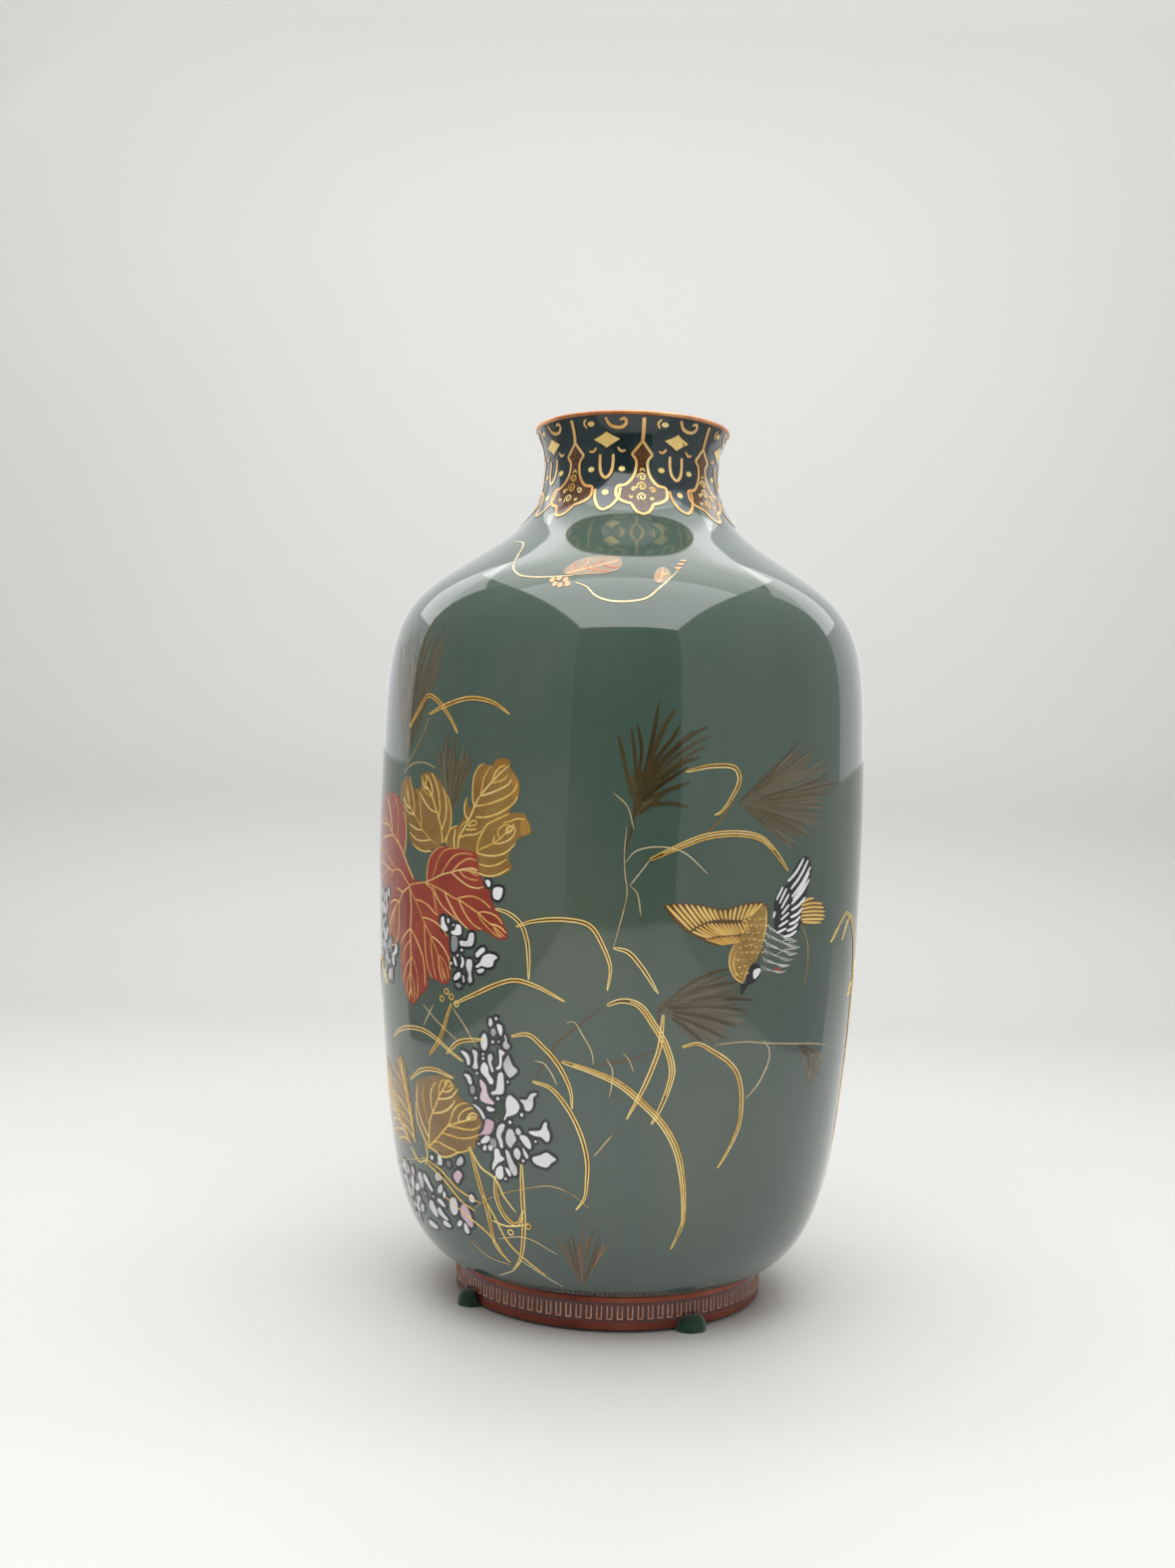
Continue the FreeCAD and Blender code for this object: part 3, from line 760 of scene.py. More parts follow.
GOLD_LEAF_OUTLINES = [
    [(-43, 155), (-42.3, 157), (-41, 160), (-40.2, 163.5), (-40.3, 166.5), (-41.5, 170), (-43, 172.8),
     (-45, 175.5), (-47.2, 177.4), (-50, 177.2), (-51.2, 176), (-50.8, 173.5), (-51.5, 172), (-53.5, 172),
     (-54.5, 170.5), (-55.2, 173), (-56.5, 175.5), (-58.5, 175.5), (-60.3, 172), (-60.5, 167), (-58, 163),
     (-56, 160), (-55.6, 156.5), (-54, 153.6), (-51.5, 152.3), (-48.5, 152), (-46.5, 153)],
    [(-42, 154.8), (-42, 157.5), (-40.6, 160), (-38.6, 161), (-37.3, 162.6), (-36.8, 165), (-36.7, 168),
     (-36, 170), (-35.5, 167), (-34.7, 167), (-34.5, 172), (-34.2, 176), (-33, 179.5), (-31.8, 180.6),
     (-29.6, 180.2), (-28.9, 181.8), (-27, 182.4), (-25.5, 182), (-25.4, 180), (-24.3, 178),
     (-23.2, 175.5), (-23, 172.5), (-23.6, 169.5), (-25, 167), (-25.2, 165.9), (-21.6, 165.7),
     (-21, 163.5), (-20.2, 161.8), (-20.3, 159.6), (-22, 158.8), (-23.4, 157.2), (-24.3, 155),
     (-25, 152.8), (-24.9, 150.8), (-24.2, 149), (-25.2, 147.3), (-27.5, 146), (-30, 145.7),
     (-32.3, 146.4), (-32.6, 150), (-33.2, 152.8), (-37, 153.5)],
]
GOLD_LEAF_VEINS = [
    [(-43, 155.3), (-43.3, 159), (-44, 162), (-44.9, 164.8), (-46, 167.5), (-46.8, 169.8), (-48.2, 172),
     (-49.8, 174), (-50.9, 176)],
    [(-43.2, 159.5), (-42.2, 163), (-42, 166), (-42.2, 169), (-43.2, 172.5)],
    [(-44.3, 163), (-44, 166), (-44.3, 169), (-45, 172.5), (-46.2, 175.5), (-47.3, 177.3)],
    [(-46.8, 169.8), (-46.8, 172), (-47.8, 175), (-48.6, 176.6)],
    [(-42.6, 155.5), (-41.2, 158.5), (-40.5, 161.5), (-40.4, 164.5), (-41, 168), (-42, 170.8)],
    [(-44.9, 164.8), (-47, 165.5), (-49, 167.5), (-50.8, 170), (-51.5, 171.3)],
    [(-46.8, 169.6), (-48.5, 170.5), (-50.8, 172.5)], [(-48.2, 172), (-49.6, 172.6), (-50.8, 174.5)],
    [(-49.3, 173.4), (-48.9, 175.5), (-49.6, 176.7)],
    [(-45, 154.8), (-47.2, 156.3), (-49.3, 158.2), (-50.5, 159.7), (-52, 161.8), (-53.5, 163.6),
     (-55, 165.3), (-56, 167.4), (-57, 170), (-57.8, 172.5), (-58.2, 174)],
    [(-50.5, 159.8), (-50.7, 163), (-51.2, 167), (-51.8, 170), (-53, 172)],
    [(-53.6, 163.6), (-53.6, 167), (-54.3, 170), (-55.5, 174), (-56, 176)],
    [(-56, 167.2), (-56.5, 170), (-57, 173)], [(-50.2, 158.9), (-52, 159), (-54, 159.8), (-55.7, 160.6)],
    [(-47.2, 156), (-49.5, 155.5), (-52, 155.6), (-54, 156.8), (-55.3, 157.8)],
    [(-46.8, 152.4), (-49, 152.1), (-51.5, 152.7), (-53.7, 154.2)],
    [(-53.5, 163.6), (-56, 164.2), (-58.5, 166.5)], [(-55, 165.4), (-57, 166.5), (-58.8, 169)],
    [(-38.2, 154), (-38, 157), (-37, 159.5), (-35.8, 162), (-34.6, 165), (-33.8, 167.5), (-32.8, 170),
     (-31, 173), (-29.3, 175.5), (-27.5, 178), (-25.6, 180.3)],
    [(-33.8, 167.2), (-34.4, 169), (-34.5, 173), (-34.2, 177), (-32.8, 180), (-31.8, 180.6)],
    [(-32.6, 170.3), (-32.1, 173), (-31.7, 176), (-30.5, 179), (-29.8, 180)],
    [(-29.5, 175.2), (-29, 177.5), (-27.8, 179.6), (-26.4, 180.4)],
    [(-33.8, 167.3), (-31, 168), (-28, 169.3), (-25.5, 171), (-24, 173), (-23.5, 175)],
    [(-32.6, 170.6), (-30.5, 171.3), (-27.5, 173), (-25.5, 174.6), (-24.9, 176)],
    [(-30, 174.6), (-28, 175.2), (-26.5, 176.2), (-25.8, 177.5)],
    [(-33.5, 164), (-31, 164.1), (-28, 165.3), (-25.5, 167.3), (-23.8, 169.5), (-23.4, 171)],
    [(-35.5, 162.8), (-36.5, 165), (-36.6, 167.5), (-36, 170)],
    [(-38, 157.3), (-36, 158.2), (-33.8, 158.5), (-32.5, 159.2), (-31.8, 160)],
    [(-36.2, 160), (-34.5, 160), (-33, 160.4)],
    [(-35.5, 161), (-34.6, 162.6), (-33.5, 162.8), (-33, 162), (-34.5, 161.2), (-35.5, 161)],
    [(-39.3, 154), (-39.4, 157), (-39, 160)], [(-41.8, 155.3), (-41.5, 157.5), (-40.3, 160), (-38.5, 161)],
    [(-38.2, 157), (-37.7, 160), (-36.8, 161.8), (-35.6, 162.9)],
    [(-33.2, 153.2), (-31.5, 154.5), (-30, 155.4), (-28.7, 156.2), (-27, 158), (-25.5, 160), (-24.5, 161)],
    [(-33, 153.8), (-32.6, 156.5), (-31.6, 159.5), (-30.5, 161.8), (-28.5, 163.3), (-25.3, 165.4)],
    [(-28.9, 156), (-28.6, 158.5)],
    [(-28.6, 156), (-27, 156.3), (-25, 157.5), (-24, 159), (-23.7, 161), (-24.4, 162.5)],
    [(-26.5, 162.6), (-24.8, 163.2), (-23.5, 164), (-21.5, 164)],
    [(-27.5, 158), (-27.8, 160), (-26.5, 161.8), (-25, 162)],
    [(-25.8, 159.4), (-24.5, 160.3), (-24.3, 161.7), (-25.3, 161.3), (-26, 160)],
    [(-33, 153), (-31, 152.3), (-28, 152.4), (-25.7, 153.6), (-24.3, 155.3), (-23.5, 156.5)],
    [(-32.3, 149.5), (-30, 149), (-27.5, 149.8), (-25.6, 151.4)],
    [(-32.4, 146.6), (-30, 145.9), (-27.5, 146.6), (-25, 148.6)],
]
RUSTY_TIPS = [
    [(-29.4, 179.6), (-28.9, 181.8), (-27, 182.4), (-25.5, 182), (-25.4, 180), (-26.5, 179)],
    [(-25, 178), (-23.3, 175.8), (-23.1, 172.8), (-23.5, 169.8), (-24.6, 170.2), (-24.6, 173),
     (-24.8, 175.5)],
    [(-21.8, 164.8), (-20.3, 162), (-20.4, 159.7), (-22, 159), (-22.6, 161.5)],
    [(-25.2, 150.8), (-24.3, 149), (-25.3, 147.5), (-26.2, 148.6)],
    [(-50.3, 176.4), (-47.6, 177), (-47.4, 172.5), (-49.2, 171.5)],
    [(-53.6, 171.6), (-52, 171.7), (-51.6, 169), (-53.4, 168.6)],
    [(-43.2, 79.6), (-41, 80), (-39.6, 77.8), (-42.3, 76.8)],
]
RED_LEAF_OUTLINE = [
    (-48.5, 142.5), (-48, 147), (-47, 151), (-45.5, 153), (-43, 154.2), (-40, 154), (-37, 153.6),
    (-33.2, 152.8), (-32.7, 150), (-32.3, 147), (-31.5, 145), (-30.5, 143.5), (-29.3, 140.5),
    (-28.7, 137.5), (-27.5, 135.5), (-26.3, 132.5), (-25.2, 129), (-25, 127.3), (-26.5, 126.5),
    (-28.7, 127.5), (-31, 129), (-34, 128.6), (-37, 130.2), (-39.5, 132), (-42, 133), (-44, 131.8),
    (-43, 130.5), (-41.5, 128), (-40.6, 125), (-40.2, 121), (-40.1, 116), (-40.3, 112.5), (-41.5, 110.8),
    (-43, 110.8), (-44.8, 111.5), (-46.5, 112), (-47.5, 114.5), (-47.6, 110.5), (-48.6, 107.5),
    (-51, 105.5), (-53, 103), (-54.7, 102), (-57.5, 105), (-59.2, 110), (-59.6, 115), (-59.5, 119),
    (-60.5, 122.5), (-62, 120), (-65.5, 119.3), (-67.5, 123), (-68.5, 130), (-67, 137), (-72, 138),
    (-80, 143), (-84, 150), (-85, 158), (-82, 164), (-77, 168), (-70, 170), (-63, 170), (-59.5, 166),
    (-57.2, 160), (-57, 155), (-58, 150.5), (-55.5, 146), (-53, 143), (-50.5, 142.2),
]
RED_LEAF_VEINS = [
    [(-55, 140.5), (-53.5, 141.3), (-51, 141.8), (-48.5, 142.2), (-46.5, 141.8), (-44, 140.8),
     (-41.5, 139.6), (-39.2, 138.3), (-37.6, 137.8), (-36, 136.8), (-34, 135.4), (-32.3, 134.2),
     (-30.5, 132.3), (-28.6, 130.7), (-27, 129), (-25.7, 127.6)],
    [(-48.3, 142.5), (-46, 143.5), (-43.5, 145), (-41, 146), (-39.5, 146.5), (-37.5, 147.2),
     (-35.5, 147.2), (-34, 146.9), (-32.5, 146.6)],
    [(-48, 142.8), (-48, 146), (-47.2, 150), (-46, 152), (-44, 153.8), (-42.5, 154.2)],
    [(-46.2, 143.5), (-45.3, 146.5), (-44.2, 150), (-42.7, 152.5), (-40.5, 153.7), (-38.5, 153.8)],
    [(-43.2, 145), (-42, 147.5), (-40.5, 150), (-38.8, 151.8), (-36.5, 152.5), (-34, 152.3)],
    [(-39.8, 146.4), (-38, 148.8), (-36, 150.5), (-34.3, 151), (-33, 150.4)],
    [(-37.8, 147.1), (-35.5, 147.8), (-34, 148), (-32.7, 147.5)],
    [(-35, 147.2), (-34, 147.7), (-32.9, 147)], [(-34.8, 146.9), (-33.5, 146.2), (-32.4, 145.9)],
    [(-40, 146.3), (-38, 144.5), (-36, 143), (-34.5, 142.2), (-32.3, 142), (-31, 142.5)],
    [(-37.6, 147), (-36.5, 145.5), (-34.5, 144.6), (-32.5, 144.4)],
    [(-46.2, 141.7), (-45, 139), (-43.6, 136.5), (-42, 134.6), (-40, 133), (-38.3, 131.5)],
    [(-48.5, 142), (-46, 140), (-45.2, 137), (-44.8, 134.5), (-44.2, 132.5)],
    [(-42, 139.8), (-41, 137.5), (-39.7, 135), (-38, 132), (-36.5, 130.3), (-35, 129)],
    [(-37.8, 137.9), (-36.8, 135.5), (-35.4, 132.8), (-33.5, 130.4), (-31.5, 129.2)],
    [(-32.5, 134.2), (-31.8, 132.5), (-30.3, 130.5), (-28.5, 128.5), (-27, 127.2)],
    [(-38, 138.3), (-36, 139), (-33.8, 139.3), (-31.8, 138.5), (-30, 137), (-29.2, 136)],
    [(-32.5, 134.3), (-31, 134.8), (-29.2, 134.5), (-27.5, 133.5), (-26.3, 131.5)],
    [(-29.5, 131.3), (-28, 131), (-26.5, 130.2), (-25.4, 128.7)],
    [(-28.4, 130.3), (-27.5, 128.5), (-26.3, 127.3)],
    [(-54.8, 139.8), (-53.8, 138), (-52.5, 136.2), (-51.2, 134), (-50, 131.7), (-49, 129.7),
     (-47.8, 127.5), (-46.5, 125.4), (-45.5, 123), (-44.2, 120), (-43, 117), (-42, 114), (-41.3, 112)],
    [(-52.4, 136.3), (-50.5, 136.2), (-48.3, 135.5), (-46.3, 134), (-45, 132.7), (-44, 132.3)],
    [(-49.7, 130.9), (-48, 130.9), (-45.5, 130.2), (-43.5, 129), (-42, 127.5), (-41.2, 126)],
    [(-46.4, 125.4), (-44.5, 124.4), (-42.7, 122.7), (-41.3, 120.5), (-40.4, 118), (-40.3, 115.5)],
    [(-44.2, 119.8), (-42.8, 118.8), (-41.5, 117), (-40.9, 114.5), (-40.7, 112.5)],
    [(-48.8, 129.5), (-48.7, 125), (-48.4, 120), (-47.9, 116.5), (-47, 113.5), (-46.2, 112.2)],
    [(-46.5, 125.2), (-46.4, 121.5), (-45.9, 117.5), (-45.3, 114), (-44.7, 112)],
    [(-44.1, 119.7), (-43.8, 116.5), (-43.3, 113.5), (-42.6, 111.3)],
    [(-42.9, 117), (-42.5, 114.5), (-41.9, 112)],
    [(-55, 140), (-54.5, 137), (-54.2, 133), (-54.4, 129), (-54.6, 126), (-54.5, 121), (-54.5, 117.5),
     (-54.7, 113.5), (-54.9, 109), (-55, 105)],
    [(-54.4, 126.5), (-52.5, 124.2), (-50.7, 121), (-49.5, 118), (-48.9, 114), (-48.9, 109)],
    [(-54.3, 118), (-53, 115.8), (-52, 113), (-51.7, 109.5), (-51.9, 106), (-52.3, 104.3)],
    [(-54.6, 112.5), (-53.7, 110.5), (-53.2, 107.5), (-53.3, 104), (-53.9, 102.7)],
    [(-54.8, 126.6), (-56.5, 125), (-58.3, 123), (-59.3, 121)],
    [(-54.7, 122.8), (-56.7, 120.7), (-58.3, 117.5), (-59.2, 114.5)],
    [(-54.7, 117), (-56.5, 114.5), (-57.8, 111.5), (-58.7, 108.5)],
    [(-54.8, 112.5), (-56, 110), (-56.7, 107), (-56.7, 104.8)], [(-54.9, 108), (-54.3, 106), (-54.4, 104)],
    [(-55, 107), (-55.7, 105), (-55.7, 103.6)],
    [(-55, 140.3), (-57, 139), (-58.2, 138), (-59.5, 136), (-60.2, 134.5), (-60.3, 130), (-60.5, 126),
     (-61.5, 122), (-63.5, 120), (-66, 120.3)],
    [(-58, 138), (-60, 138.6), (-61.8, 139.2)], [(-60.2, 134.8), (-62.5, 133), (-64.5, 129), (-65.5, 124)],
    [(-60.2, 134.6), (-63, 135), (-66, 133.5)], [(-61.5, 133.8), (-63, 130.5), (-63.5, 126), (-63, 122.5)],
    [(-62.5, 132.6), (-64.8, 130), (-66.4, 126), (-66.4, 122)],
    [(-53.3, 142.8), (-55.5, 146), (-58, 150), (-60, 153), (-62.5, 155), (-65, 157), (-68, 159.5),
     (-72, 162)],
    [(-58, 150.5), (-57.3, 153), (-57, 157), (-57.3, 161), (-58.5, 164.5)],
    [(-60, 152.5), (-61.5, 156), (-61.3, 162), (-62, 166), (-64, 169.5)],
    [(-65, 157), (-66, 161), (-67.5, 165), (-69.5, 168.5)],
    [(-64.3, 156.3), (-67.5, 156), (-72, 155), (-76, 153.5)], [(-68, 159.5), (-72, 159.8), (-76, 160.5)],
    [(-55, 140.5), (-57, 142.5), (-59, 144.5), (-61.5, 145.3), (-65, 144.5), (-70, 146), (-76, 147)],
    [(-63, 146), (-67, 148.5), (-72, 150.5), (-77, 151)], [(-63.5, 144.5), (-66.5, 142), (-69, 139)],
    [(-67, 145.5), (-71, 143), (-75, 141.5)],
]
LOWER_LEAF_OUTLINE = [
    (-51, 56.2), (-53, 58.5), (-54.5, 62), (-55.3, 67), (-55.3, 73), (-54.5, 77), (-50, 79.3),
    (-46.5, 80.5), (-43, 81.2), (-40.8, 80.3), (-39.2, 78), (-38.6, 75.8), (-36.5, 74.3), (-34.5, 73.5),
    (-33, 71.5), (-32, 69), (-32.3, 65), (-33.5, 61), (-35, 59.2), (-37.5, 57.8), (-40, 56.8), (-43, 55.3),
    (-46, 54.5), (-48.5, 55.3),
]
LOWER_LEAF_VEINS = [
    [(-51, 55.5), (-50.3, 58.5), (-49.8, 62), (-49, 66), (-47.8, 68.5), (-46.3, 71.5), (-45, 74.5),
     (-43.5, 77), (-42, 79.5)],
    [(-50.2, 59.5), (-51.5, 61.5), (-53.3, 65), (-54.3, 68.5), (-54.5, 72), (-53.8, 76)],
    [(-49.7, 64), (-50.8, 67), (-51.5, 71), (-51.3, 75), (-50.7, 77)],
    [(-47.9, 68.3), (-48.4, 71.5), (-48.2, 75), (-47.3, 77), (-46, 78.5)],
    [(-45.1, 74), (-45.1, 76.5), (-44.3, 79), (-43, 80)],
    [(-48, 68), (-45.5, 68.7), (-43, 70), (-41, 72), (-39.8, 74)],
    [(-45.6, 73.2), (-43, 73.8), (-40.8, 75), (-39.5, 76.8), (-38.8, 77.8)],
    [(-43.7, 76), (-42, 76.3), (-40.6, 77.5), (-40.2, 79)],
    [(-43, 77.5), (-42.8, 79.3), (-41.6, 80), (-40.7, 79), (-41.7, 77.9)],
    [(-51.3, 56.8), (-53, 60), (-55, 64), (-55.2, 70)],
    [(-50.5, 56.5), (-48.5, 58.3), (-46.5, 60.5), (-44.8, 62.5), (-42.5, 65.2), (-40, 66.5), (-37.5, 67.8),
     (-35, 68.8), (-33.5, 69.3)],
    [(-42.5, 65.4), (-41.5, 67.5), (-40.7, 70), (-39.5, 72), (-37.5, 73.5), (-36, 73.8)],
    [(-39, 67), (-38.8, 69), (-37.5, 71), (-35.5, 72.4), (-34.3, 72.7)],
    [(-36.5, 68.3), (-35.8, 70), (-34.5, 71), (-33.3, 70.5)], [(-36, 68.8), (-34.8, 69.8), (-33.5, 69.8)],
    [(-45.2, 62.3), (-42, 62.2), (-39, 62), (-36, 62.7), (-34, 63.7), (-33, 64.5)],
    [(-42.5, 65.2), (-39.5, 65.3), (-36.5, 65.3), (-34, 66), (-32.5, 67.5)],
    [(-48.5, 58.5), (-46.5, 59), (-44, 58.3), (-41, 57.7), (-39.8, 57.4)],
    [(-50.4, 56.3), (-48, 55.6), (-45.5, 54.4), (-42.5, 55.3), (-40, 57), (-37.5, 58), (-35.8, 59.2)],
]

red_cells = Inlay("red_leaf_cells", RED, 0.10, "red_enamel", ["red_leaf_enamel"])
brown_cells = Inlay("gold_leaf_cells", BROWN, 0.09, "brown_enamel", ["gold_leaf_enamel"])
low_cells = Inlay("lower_leaf_cells", BROWN, 0.09, "brown_enamel", ["lower_leaves_enamel"])
rusty_cells = Inlay("leaf_rusty_tips", RUST, 0.115, "brown_enamel")
red_wires = Inlay("red_leaf_veins", ROSE_WIRE, 0.15, "wire_gold", ["red_leaf_wires"])
brown_wires = Inlay("gold_leaf_veins", GOLD, 0.14, "wire_gold", ["gold_leaf_wires"])
low_wires = Inlay("lower_leaf_veins", GOLD, 0.14, "wire_gold", ["lower_leaves_wires"])

veined(brown_cells, brown_wires, GOLD_LEAF_OUTLINES, GOLD_LEAF_VEINS)
veined(red_cells, red_wires, [RED_LEAF_OUTLINE], RED_LEAF_VEINS)
veined(low_cells, low_wires, [LOWER_LEAF_OUTLINE], LOWER_LEAF_VEINS)
for outline in RUSTY_TIPS:
    rusty_cells.fill(outline, smooth=True)
auto_leaf(low_cells, low_wires, (-57, 56), (-63, 84), [(-63, 58), (-68, 66), (-68, 77)],
          [(-57, 64), (-59, 75), (-60, 82)])
auto_leaf(low_cells, low_wires, (-60, 55), (-80, 74), [(-68, 53), (-77, 57), (-82, 66)],
          [(-64, 66), (-70, 76), (-76, 80)])

build(red_cells, brown_cells, low_cells, rusty_cells, red_wires, brown_wires, low_wires)


# ---------------------------------------------------------------- grasses and stems

grass_cells = Inlay("grass_blades", GRASS, 0.12, "grass_enamel", ["grass_blades_enamel"])
grass_wires = Inlay("grass_wires", GOLD, 0.17, "wire_gold", ["grass_blades_wires"])
pale_lines = Inlay("pale_stems", PALE_WIRE, 0.13, "wire_gold")
twigs = Inlay("brown_twigs", TWIG, 0.08)

WIDE_BLADES = [
    [(-24, 97), (-20, 98), (-17, 95), (-13.5, 90), (-10.5, 82), (-10, 76)],
    [(-19, 83.5), (-15, 82), (-11, 76), (-8, 68), (-6.5, 60), (-6.5, 54), (-7, 48), (-9, 44)],
    [(-12.5, 90.5), (-6, 88), (0, 84.5), (5, 79), (10, 72), (13.5, 64), (15.5, 54), (16.5, 44), (16.5, 40),
     (14.5, 31.5)],
    [(-3, 108.5), (0, 110), (3.5, 109), (7, 103), (10, 96), (11.5, 89), (11, 84), (9, 76), (7.5, 72)],
    [(9, 106), (8.5, 96), (7, 89), (5, 82), (2, 73.5)],
    [(13.5, 96), (17, 97), (20, 95), (25, 90.5), (27.5, 86), (28.8, 78), (28.5, 70), (26, 62), (24, 57.5)],
    [(-23, 131), (-19, 133), (-12, 134), (-7, 132.5), (-4, 126), (-2.5, 120), (-3, 113)],
    [(-28, 136), (-25, 135), (-22, 132), (-20.5, 127), (-20, 120), (-20, 115)],
    [(-39, 105), (-33, 109), (-27, 113), (-23, 114.5), (-18, 113), (-12, 109)],
    [(-2, 126), (1, 125), (4, 120.5), (7.7, 112.5)],
    [(5, 153), (10, 156.5), (17, 160.5), (25, 161.5), (30, 160), (34, 155.5), (37.5, 150)],
    [(12, 180), (18, 182), (23, 181.5), (24, 178), (22.5, 173), (20, 168), (18.5, 167)],
    [(-49, 196), (-43, 199), (-36, 201), (-30, 199.5), (-26, 196)],
    [(-57, 192), (-53, 198), (-50, 202), (-46, 200), (-42, 195), (-39.5, 190)],
    [(-66, 89), (-62, 92), (-57, 94), (-50, 94.5), (-45, 92.5), (-40, 89), (-37, 87)],
    [(-57, 77), (-52, 81), (-46, 82.5), (-40, 81)], [(-48, 87), (-44, 93), (-41, 102), (-40, 105)],
    [(-42, 88.5), (-38, 93), (-31, 95)],
    [(-22, 57), (-22, 45), (-22, 38), (-23.5, 28), (-25, 24), (-28, 20)],
    [(-36, 60), (-34, 50), (-32, 40), (-31, 28), (-28, 23)],
    [(-29, 52), (-29, 45), (-27, 39), (-24, 37), (-22, 42)],
]
BROAD = (2, 3, 10)          # which of them are broad and have a third wire
for number, points in enumerate(WIDE_BLADES):
    width, lines = (2.0, 3) if number in BROAD else (1.4, 2)
    blade(grass_cells, grass_wires, points, width, lines)

THIN_LINES = [
    [(-18.5, 90), (-16.5, 89.5), (-14.5, 86), (-13.5, 83)],
    [(33.5, 97), (35.3, 94), (35.5, 91), (34.5, 87), (32.8, 83), (30, 79)],
    [(-11.5, 102.5), (-10, 103), (-8, 99), (-6, 94), (-5.5, 90)],
    [(-2.8, 92), (-1.5, 89), (-1.5, 84), (-2, 80)], [(0.7, 94), (2, 92), (3.2, 88)],
    [(-5, 61.5), (-1, 68.5)], [(1, 145), (2.5, 143), (3.5, 136)], [(-3, 173), (0, 169), (1.5, 162)],
    [(42.5, 133), (45, 127), (45.5, 119), (44.5, 113)],
    [(0, 152), (2, 155.5), (7, 157), (12, 155.5), (17.5, 149)],
    [(-59, 177), (-55, 180), (-50, 180.5), (-46, 179)],
    [(0, 163), (-0.3, 155), (0, 148), (0.5, 143), (-1, 132), (-2, 126)], [(1, 145), (5, 153)],
    [(-40, 104), (-36, 98), (-33, 92)], [(-50, 103), (-45, 98.5), (-38, 93)], [(-46, 103.5), (-50, 96)],
    [(-59, 177), (-55, 183), (-51, 190), (-49, 195)], [(-30, 31), (-22, 33), (-14, 28.5)],
    [(-40, 28), (-35, 23.5), (-28, 22)], [(-35, 16), (-28, 20), (-25, 24)],
    [(-25, 25), (-20, 21), (-14, 16)], [(-80, 42), (-70, 46), (-60, 49.5), (-52, 52)],
    [(21, 96.5), (28, 97), (35, 96), (50, 94), (57, 92.5)],
    [(-36, 40), (-30, 45), (-22, 49), (-15, 51), (-10, 49), (-6, 45)],
]
STEM_WIRE, STALK_WIRE = 0.38, 0.55
for points in THIN_LINES:
    pale_lines.line(points, STEM_WIRE)
GOLD_LINES = [
    [(-53, 51), (-46, 47), (-40, 41), (-36, 39)], [(-36, 60), (-33, 54), (-29, 51), (-27, 46), (-24, 41)],
    [(-31, 37), (-27, 36), (-21, 37.5)], [(-33, 45), (-30, 38), (-27, 30), (-22, 24), (-18, 20)],
    [(-46, 41), (-38, 36), (-32, 31), (-29, 24)], [(-54, 52), (-47, 50), (-41, 45), (-34, 42)],
    [(-60, 54), (-56, 50), (-53, 51)], [(-52, 57), (-51.5, 53), (-53, 50)],
]
for points in GOLD_LINES:
    grass_wires.line(points, STALK_WIRE)
BUDS = [(-21, 37), (-26, 34), (-43, 106), (-40, 107), (-41.5, 108.5), (-38.5, 105)]
for spot in BUDS:
    grass_wires.line(ring_of(spot), BLADE_WIRE, (1, 1), closed=True, step=0.5)
TWIG_LINES = [
    [(-19, 83), (-14, 95), (-8, 103), (-4, 108)], [(-5, 90), (2, 92), (8, 95)],
    [(12, 157), (18, 163), (23, 171)], [(9, 96), (8, 103), (8, 109)], [(45, 93), (52, 80)],
]
for points in TWIG_LINES:
    twigs.line(points, STALK_WIRE)

# The far side: grasses that carry on from the last ones in view.
BACK_ROOTS = (78, 104, 131, 158, 186, 214, 243, 268)
BLADES_PER_ROOT = 3
for root in BACK_ROOTS:
    for _ in range(BLADES_PER_ROOT):
        side = random_source.choice((-1, 1))
        a = root + random_source.uniform(-6, 6)
        low = random_source.uniform(22, 60)
        tall = random_source.uniform(50, 105)
        lean = side * random_source.uniform(5, 13)
        blade(grass_cells, grass_wires, [
            (a, low), (a + lean * 0.25, low + tall * 0.45), (a + lean * 0.9, low + tall * 0.85),
            (a + lean * 1.8, low + tall), (a + lean * 2.6, low + tall * 0.9),
        ], random_source.uniform(1.3, 1.8))
    pale_lines.line([(root + 3, 30), (root + 1, 75), (root + 5, 128)], STEM_WIRE)

build(grass_cells, grass_wires, pale_lines, twigs)


# ---------------------------------------------------------------- flowers

